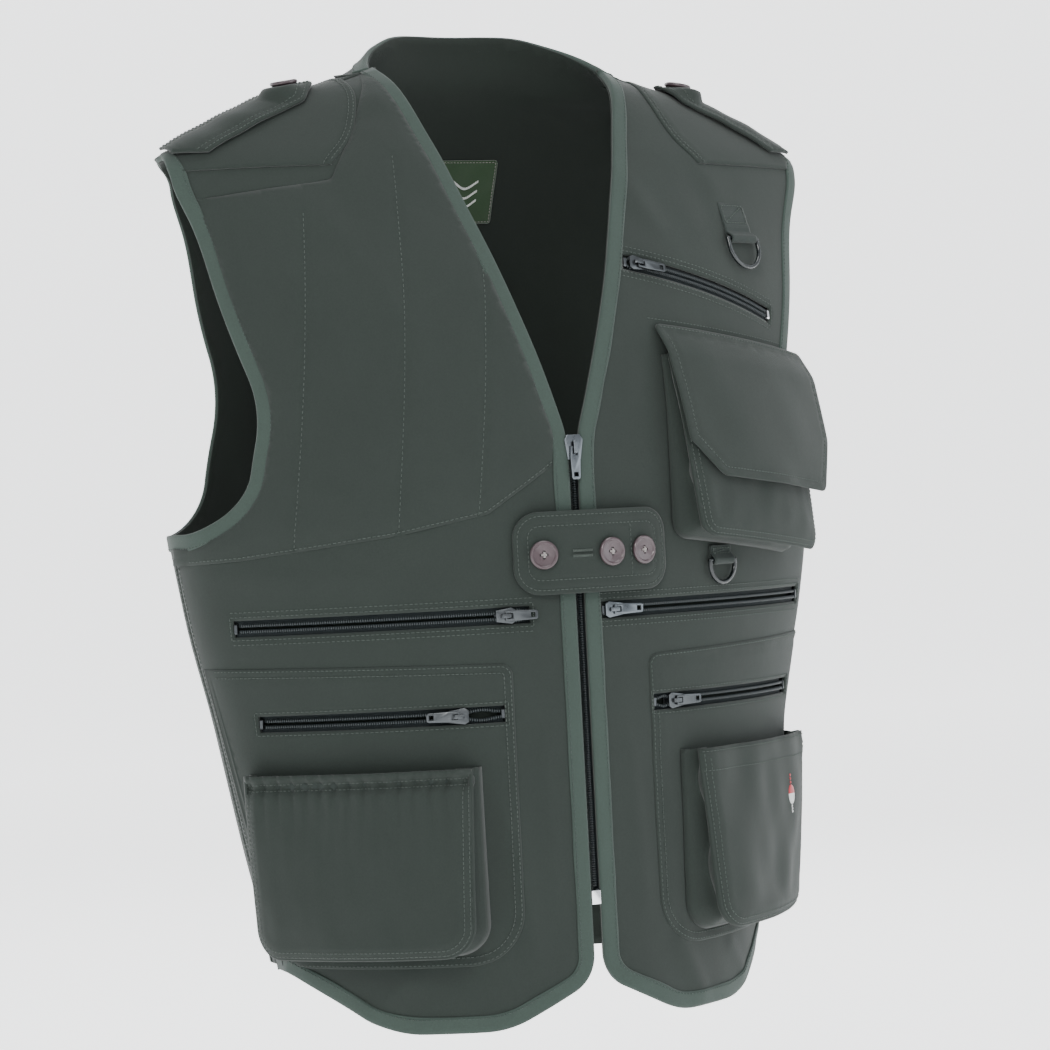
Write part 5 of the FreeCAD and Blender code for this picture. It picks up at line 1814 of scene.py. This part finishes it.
def sew_button(node, body):
    """Button with its four holes crossed by pale thread."""
    made = bevelled(node + "_resin", node, "button", 0.25, body)
    every = corners_of(node)
    middle, out, first, second = button_axes(node)
    heights = (every - middle) @ out
    spread = np.hypot((every - middle) @ first, (every - middle) @ second)
    dish = float(np.max(heights[spread < 4.5]))
    rim = every[spread < 4.5]
    holes = np.arctan2((rim - middle) @ second, (rim - middle) @ first)
    reach = np.hypot((rim - middle) @ first, (rim - middle) @ second)
    far = holes[np.argmax(reach)]
    threads = Threads(node + "_thread", "pale_thread", body)
    for quarter in (0, 1):
        turn = far + quarter * math.pi / 2
        for strand in (-0.42, 0.0, 0.42):
            along = math.cos(turn) * first + math.sin(turn) * second
            beside = np.cross(out, along)
            points = []
            for share in np.linspace(-1, 1, 11):
                rise = 0.55 - 1.9 * max(0.0, abs(share) - 0.72) / 0.28 + 0.2 * quarter
                points.append(middle + along * 1.95 * share + beside * strand
                              + out * (dish + rise * 0.7))
            threads.thread(points, 0.3, beside)
    threads.finish()


# ---------------------------------------------------------------- closure tab

TAB_LEFT, TAB_RIGHT = 66, -46
TAB_TOP, TAB_LOW = -297, -351
TAB_ARCH = 5.9
TAB_RISE = 2.5
TAB_THICK = 2.0


class Arch:
    """Chart of the tab: across and height, on an upright round arch over the vest's front."""

    def __init__(self):
        places = []
        for x, rise in ((TAB_RIGHT, TAB_RISE), ((TAB_LEFT + TAB_RIGHT) / 2, TAB_RISE + TAB_ARCH),
                        (TAB_LEFT, TAB_RISE)):
            spot = form(np.array([s_at_x(x, TAB_TOP)]), np.array([float(v_at(TAB_TOP))]))[0]
            places.append((x, spot[1] - rise))
        (x0, y0), (x1, y1), (x2, y2) = places
        lines = np.array([[x1 - x0, y1 - y0], [x2 - x1, y2 - y1]])
        ends = np.array([(x1 ** 2 - x0 ** 2 + y1 ** 2 - y0 ** 2) / 2,
                         (x2 ** 2 - x1 ** 2 + y2 ** 2 - y1 ** 2) / 2])
        self.x, self.y = np.linalg.solve(lines, ends)
        self.radius = math.hypot(x0 - self.x, y0 - self.y)

    def at(self, spots, lift=0.0):
        spots = np.asarray(spots, float)
        turn = np.arcsin((spots[..., 0] - self.x) / self.radius)
        reach = self.radius + np.broadcast_to(np.asarray(lift, float), turn.shape)
        return np.stack([self.x + reach * np.sin(turn), self.y - reach * np.cos(turn),
                         spots[..., 1]], axis=-1)

    def out_sign(self):
        return 1


def make_tab():
    """Buttoned closure tab with a doubled row of stitches and one buttonhole slit."""
    chart = Arch()
    outline = spaced(rounded([(TAB_LEFT, TAB_LOW), (TAB_LEFT, TAB_TOP), (TAB_RIGHT, TAB_TOP),
                              (TAB_RIGHT, TAB_LOW)], 17), 2.5)
    turn = -outward_turn(outline)
    rows = {distance: off_line(outline, distance * turn, True) for distance in (1.1, 3.0, 9.5)}
    middle = (TAB_TOP + TAB_LOW) / 2 - 1
    seats = [(corners_of("tab_button_%d" % k).mean(axis=0)[0], middle) for k in (1, 2, 3)]
    slit = level(middle, -7.5, 6.5, 18)

    def high(spots):
        shape = 0.45 * ripple(spots, SEED + 71, 38, 0.7)
        shape += 0.35 * np.sin(spots[:, 0] / 9.0) * ease(np.abs(spots[:, 1] - middle), 10, 24)
        for x, z in seats:
            near = np.hypot(spots[:, 0] - x, spots[:, 1] - z)
            shape *= ease(near, 8.5, 15)
        return shape

    def lift(spots):
        seam = pucker(spots, [(rows[3.0], True), (rows[9.5], True)], 0.3, 1.5, 72)
        hole = 0.55 * np.exp(-((gap_to(slit, spots, False) - 1.3) / 0.8) ** 2)
        hole -= 0.7 * np.exp(-(gap_to(slit, spots, False) / 0.45) ** 2)
        return high(spots) + seam + hole - rolled(gap_to(outline, spots), 0.9, 1.4)

    def under(spots):
        return high(spots) * 0.5 - TAB_THICK
    lines = [(outline, True), (slit, False)] + [(row, True) for row in rows.values()]
    made = cloth("closure_tab_cloth", lines, lambda spots: inside(outline, spots), chart, "cloth",
                 lift, TAB_THICK, 1.9, "closure_tab", lifted=under)
    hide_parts("closure_tab")
    threads = Threads("closure_tab_stitches", "thread", "closure_tab")
    for row in (rows[3.0], rows[9.5]):
        threads.row(row, chart, above(lift, 0.12), closed=True)
    threads.row([(36.0, z) for z in np.linspace(TAB_LOW + 10, TAB_TOP - 10, 30)], chart,
                above(lift, 0.12))
    for x in np.linspace(-7.0, 6.0, 20):
        for side in (-1, 1):
            short = [(x, middle + side * 0.5), (x, middle + side * 1.5), (x, middle + side * 2.6)]
            threads.row(short, chart, above(lift, 0.15), pitch=1.6, length=2.0)
    threads.finish()
    for number in (1, 2, 3):
        sew_button("tab_button_%d" % number, "closure_tab")


# ---------------------------------------------------------------- rings on webbing

WIRE_RADIUS = 1.5
WIRE_GAP = 0.3
WEBBING_THICK = 1.2


def make_ring(name, strap_length, inside_width):
    """Ribbed webbing folded round the ring's bar and sewn down on itself and the cloth."""
    bevelled(name + "_enamel", name, "ring", 0.1)
    joint = next(j for j in frame["joints"] if j["name"] == name + "_swing")
    bar = np.array(joint["pos_m"]) / MM
    across = -np.array(joint["axis"], float)
    sewn = charted([bar + np.array([0, 0, strap_length / 2])])[0]
    out = form(sewn[0], sewn[1], 1.0) - form(sewn[0], sewn[1])
    out = out - across * (out @ across)
    out /= np.linalg.norm(out)
    rise = np.cross(out, across)
    loop = WIRE_RADIUS + WIRE_GAP + WEBBING_THICK
    top = strap_length
    path = [(top - k, 2 * WEBBING_THICK) for k in (0.0, 0.6, 2.0)]
    path += [(r, 2 * WEBBING_THICK + 0.15 * math.sin(r * 0.8)) for r in np.arange(
        top - 3.5, loop + 1.5, -1.5)]
    path += [(loop * math.cos(t), loop + loop * math.sin(t)) for t in np.linspace(
        0.3 * math.pi, 1.5 * math.pi, 20)]
    path += [(r, 0.0) for r in np.linspace(2.0, top, 9)]
    path = np.array(path)
    outer = left_of(path) * -1.0
    width = inside_width - 1.6
    count = int(width / 0.8)
    columns = np.linspace(-0.5, 0.5, count + 1) * width
    ridge = 0.12 * np.cos(np.arange(count + 1) * math.pi)
    ridge[[0, -1]] = -0.3
    spots = []
    for depth, relief in ((0.0, ridge), (-(WEBBING_THICK - 0.06), -0.4 * ridge)):
        for place, turn in zip(path, outer):
            for column, high in zip(columns, relief):
                up_way, out_way = place + turn * (depth + high - 0.06)
                spots.append(bar + across * column + rise * up_way + out * (out_way - loop))
    n, m = len(path), len(columns)
    index = np.arange(2 * n * m).reshape(2, n, m)
    front, back = index
    grid = [np.stack([side[:-1, :-1], side[1:, :-1], side[1:, 1:], side[:-1, 1:]],
                     axis=-1).reshape(-1, 4) for side in (front, back)]
    faces = grid[0].tolist() + grid[1][:, ::-1].tolist()
    for k, flip in ((0, 1), (-1, -1)):
        faces += [[front[a, k], back[a, k], back[a + 1, k], front[a + 1, k]][::flip]
                  for a in range(n - 1)]
        faces += [[front[k, a], front[k, a + 1], back[k, a + 1], back[k, a]][::flip]
                  for a in range(m - 1)]
    faces = [[int(corner) for corner in face] for face in faces]
    grain = [(column, step * 1.4, 0) for _ in (0, 1) for step in range(n) for column in columns]
    made = piece(name + "_strap", spots, faces, "webbing", grain)
    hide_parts(name + "_webbing")
    threads = Threads(name + "_stitches", "thread")
    reach = width / 2 - 2.0
    face = 2 * WEBBING_THICK - loop + 0.15
    low, high = top * 0.45, top - 2.0
    box = [(-reach, low), (reach, low), (reach, high), (-reach, high), (-reach, low),
           (reach, high)]
    bulge = np.array([-0.35, 0.1, 0.15, 0.1, -0.35])
    for (x0, r0), (x1, r1) in zip(box, box[1:]):
        parts = max(2, int(math.hypot(x1 - x0, r1 - r0) / 2.6))
        for k in range(parts):
            shares = np.linspace((k + 0.12) / parts, (k + 0.86) / parts, 5)
            threads.thread([bar + across * (x0 + (x1 - x0) * t) + rise * (r0 + (r1 - r0) * t)
                            + out * (face + b) for t, b in zip(shares, bulge)], 0.28, out)
    threads.finish()


# ---------------------------------------------------------------- labels and embroidery

LABEL_HALF = 42
LABEL_LOW, LABEL_HIGH = -84, -38
TAG_HALF = 16
TAG_LOW, TAG_HIGH = -108, -85
LABEL_FACE = -7.5


def back_place(x, z):
    """Place on the back's chart of a point seen square on."""
    v = up(z)
    run = np.linspace(-120, 120, 241)
    across = form(run, np.full_like(run, v), LABEL_FACE, True)[:, 0]
    if across[0] > across[-1]:
        return float(np.interp(x, across[::-1], run[::-1])), v
    return float(np.interp(x, across, run)), v


def label_patch(name, node, half, low, high, paint, thick):
    """Label sewn flat on the inside of the back. It returns its outline and inner face."""
    outline = [back_place(x, z) for x, z in spaced(rounded([
        (-half, low), (half, low), (half, high), (-half, high)], 2.0), 2)]

    def soft(spots):
        near = gap_to(outline, spots)
        wave = 0.25 * ripple(spots, SEED + 81, 30) * ease(near, 0, 6)
        return LABEL_FACE - thick - wave + 0.3 * (1 - ease(near, -0.3, 1.2))
    made = cloth(name, [(outline, True)], lambda spots: inside(outline, spots), WRAP_BACK, paint,
                 lambda spots: np.full(len(spots), LABEL_FACE), thick, 1.6, lifted=soft)
    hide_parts(node)
    return outline, soft


def make_labels():
    outline, soft = label_patch("neck_label_cloth", "neck_label", LABEL_HALF, LABEL_LOW, LABEL_HIGH,
                                "label", 0.7)
    threads = Threads("neck_label_stitches", "pale_thread")
    rim = off_line(outline, -1.6 * outward_turn(outline), True)
    threads.row(rim, WRAP_BACK, above(soft, -0.15), pitch=2.4, length=1.7, radius=0.22,
                closed=True)
    threads.finish()
    motif = Threads("neck_label_waves", "floss")
    for height in (-54, -61, -68):
        for shift in (-0.55, 0.0, 0.55):
            line = [back_place(x, height + shift + 3.2 * math.sin(x / 26 * 2 * math.pi))
                    for x in np.linspace(-29, 29, 90)]
            motif.row(line, WRAP_BACK, above(soft, -0.12), pitch=1.5, length=1.45, radius=0.32)
    motif.finish()
    outline, soft = label_patch("size_label_cloth", "size_label", TAG_HALF, TAG_LOW, TAG_HIGH,
                                "white", 0.45)
    ink = Threads("size_label_bars", "ink")
    for height, reach in ((-91, 9), (-95, 11), (-98.5, 7), (-102, 10)):
        for shift in (-0.4, 0.0, 0.4):
            line = [back_place(x, height + shift) for x in np.linspace(-reach, reach, 14)]
            ink.row(line, WRAP_BACK, above(soft, -0.05), pitch=1.2, length=1.2, radius=0.2)
    ink.finish()


FLOAT_PLACE = (72, -500)
FLOAT_RADIUS = 6.5
SATIN_RADIUS = 0.34


def satin(threads, spans, chart, lift):
    """Level satin stitches: spans are (height, left, right)."""
    for z, left, right in spans:
        reach = right - left
        if reach > 0.8:
            line = [(left + reach * share, z) for share in np.linspace(0, 1, 7)]
            threads.row(line, chart, above(lift, 0.15), pitch=0.9 * reach,
                        length=0.98 * reach, radius=SATIN_RADIUS)


def make_float():
    """Embroidered fishing float: white belly, red top, thin stem."""
    u, z = FLOAT_PLACE
    red = Threads("float_red", "red")
    white = Threads("float_white", "floss")
    for step in range(-15, 16):
        rise = step * 0.42
        half = math.sqrt(max(0.0, FLOAT_RADIUS ** 2 - rise ** 2)) * 0.82
        satin(red if rise > 0.6 else white, [(z + rise, u - half, u + half)], LEFT_POUCH.chart,
              lift_left)
    for low, high, threads in ((7.0, 14.5, red), (-13.0, -7.0, white)):
        for shift in (-0.35, 0.35):
            line = [(u + shift, z + k) for k in np.linspace(low, high, 8)]
            threads.row(line, LEFT_POUCH.chart, above(lift_left, 0.15), pitch=1.9, length=1.9,
                        radius=SATIN_RADIUS)
    red.finish()
    white.finish()


def make_seams():
    """Rows of topstitching beside the side and yoke seams."""
    threads = Threads("seam_stitches", "thread")
    for sign in (1, -1):
        line = [spot for spot in SIDE_SEAM[sign] if -560 < float(np.interp(
            spot[1], V_TABLE, Z_TABLE)) < -318]
        for distance in (3.0 * sign, -3.0 * sign):
            threads.row(off_line(line, distance), WRAP, 0.15)
    yoke = [spot for spot in level(up(YOKE_Z - 3), -205, 205, 160)
            if back_keep(np.array([spot]))[0]]
    threads.row(yoke, WRAP_BACK, 0.15)
    threads.finish()


for strap_sign, strap_side in ((-1, "right"), (1, "left")):
    make_epaulet(strap_sign, strap_side)
make_tab()
make_ring("upper_d_ring", 27, 28)
make_ring("lower_d_ring", 10, 22)
make_labels()
make_float()
make_seams()

# ---------------------------------------------------------------- materials of the CAD nodes

NODE_PAINT = [("_slider", "nickel"), ("_pull", "nickel"), ("_button", "button"),
              ("button_", "button"), ("_binding", "binding"), ("_lining", "lining"),
              ("_webbing", "webbing"), ("_d_ring", "ring"), ("_tape", "tape"), ("_zip", "tape"),
              ("_coil", "coil"), ("retainer", "bright"), ("_stops", "bright"),
              ("_pin", "nickel"), ("neck_label", "label"), ("size_label", "white"),
              ("elastic", "webbing")]
for node, thing in frame["nodes"].items():
    kinds = [paint for ending, paint in NODE_PAINT if ending in node]
    thing.data.materials.clear()
    thing.data.materials.append(PAINT[kinds[0] if kinds else "cloth"])
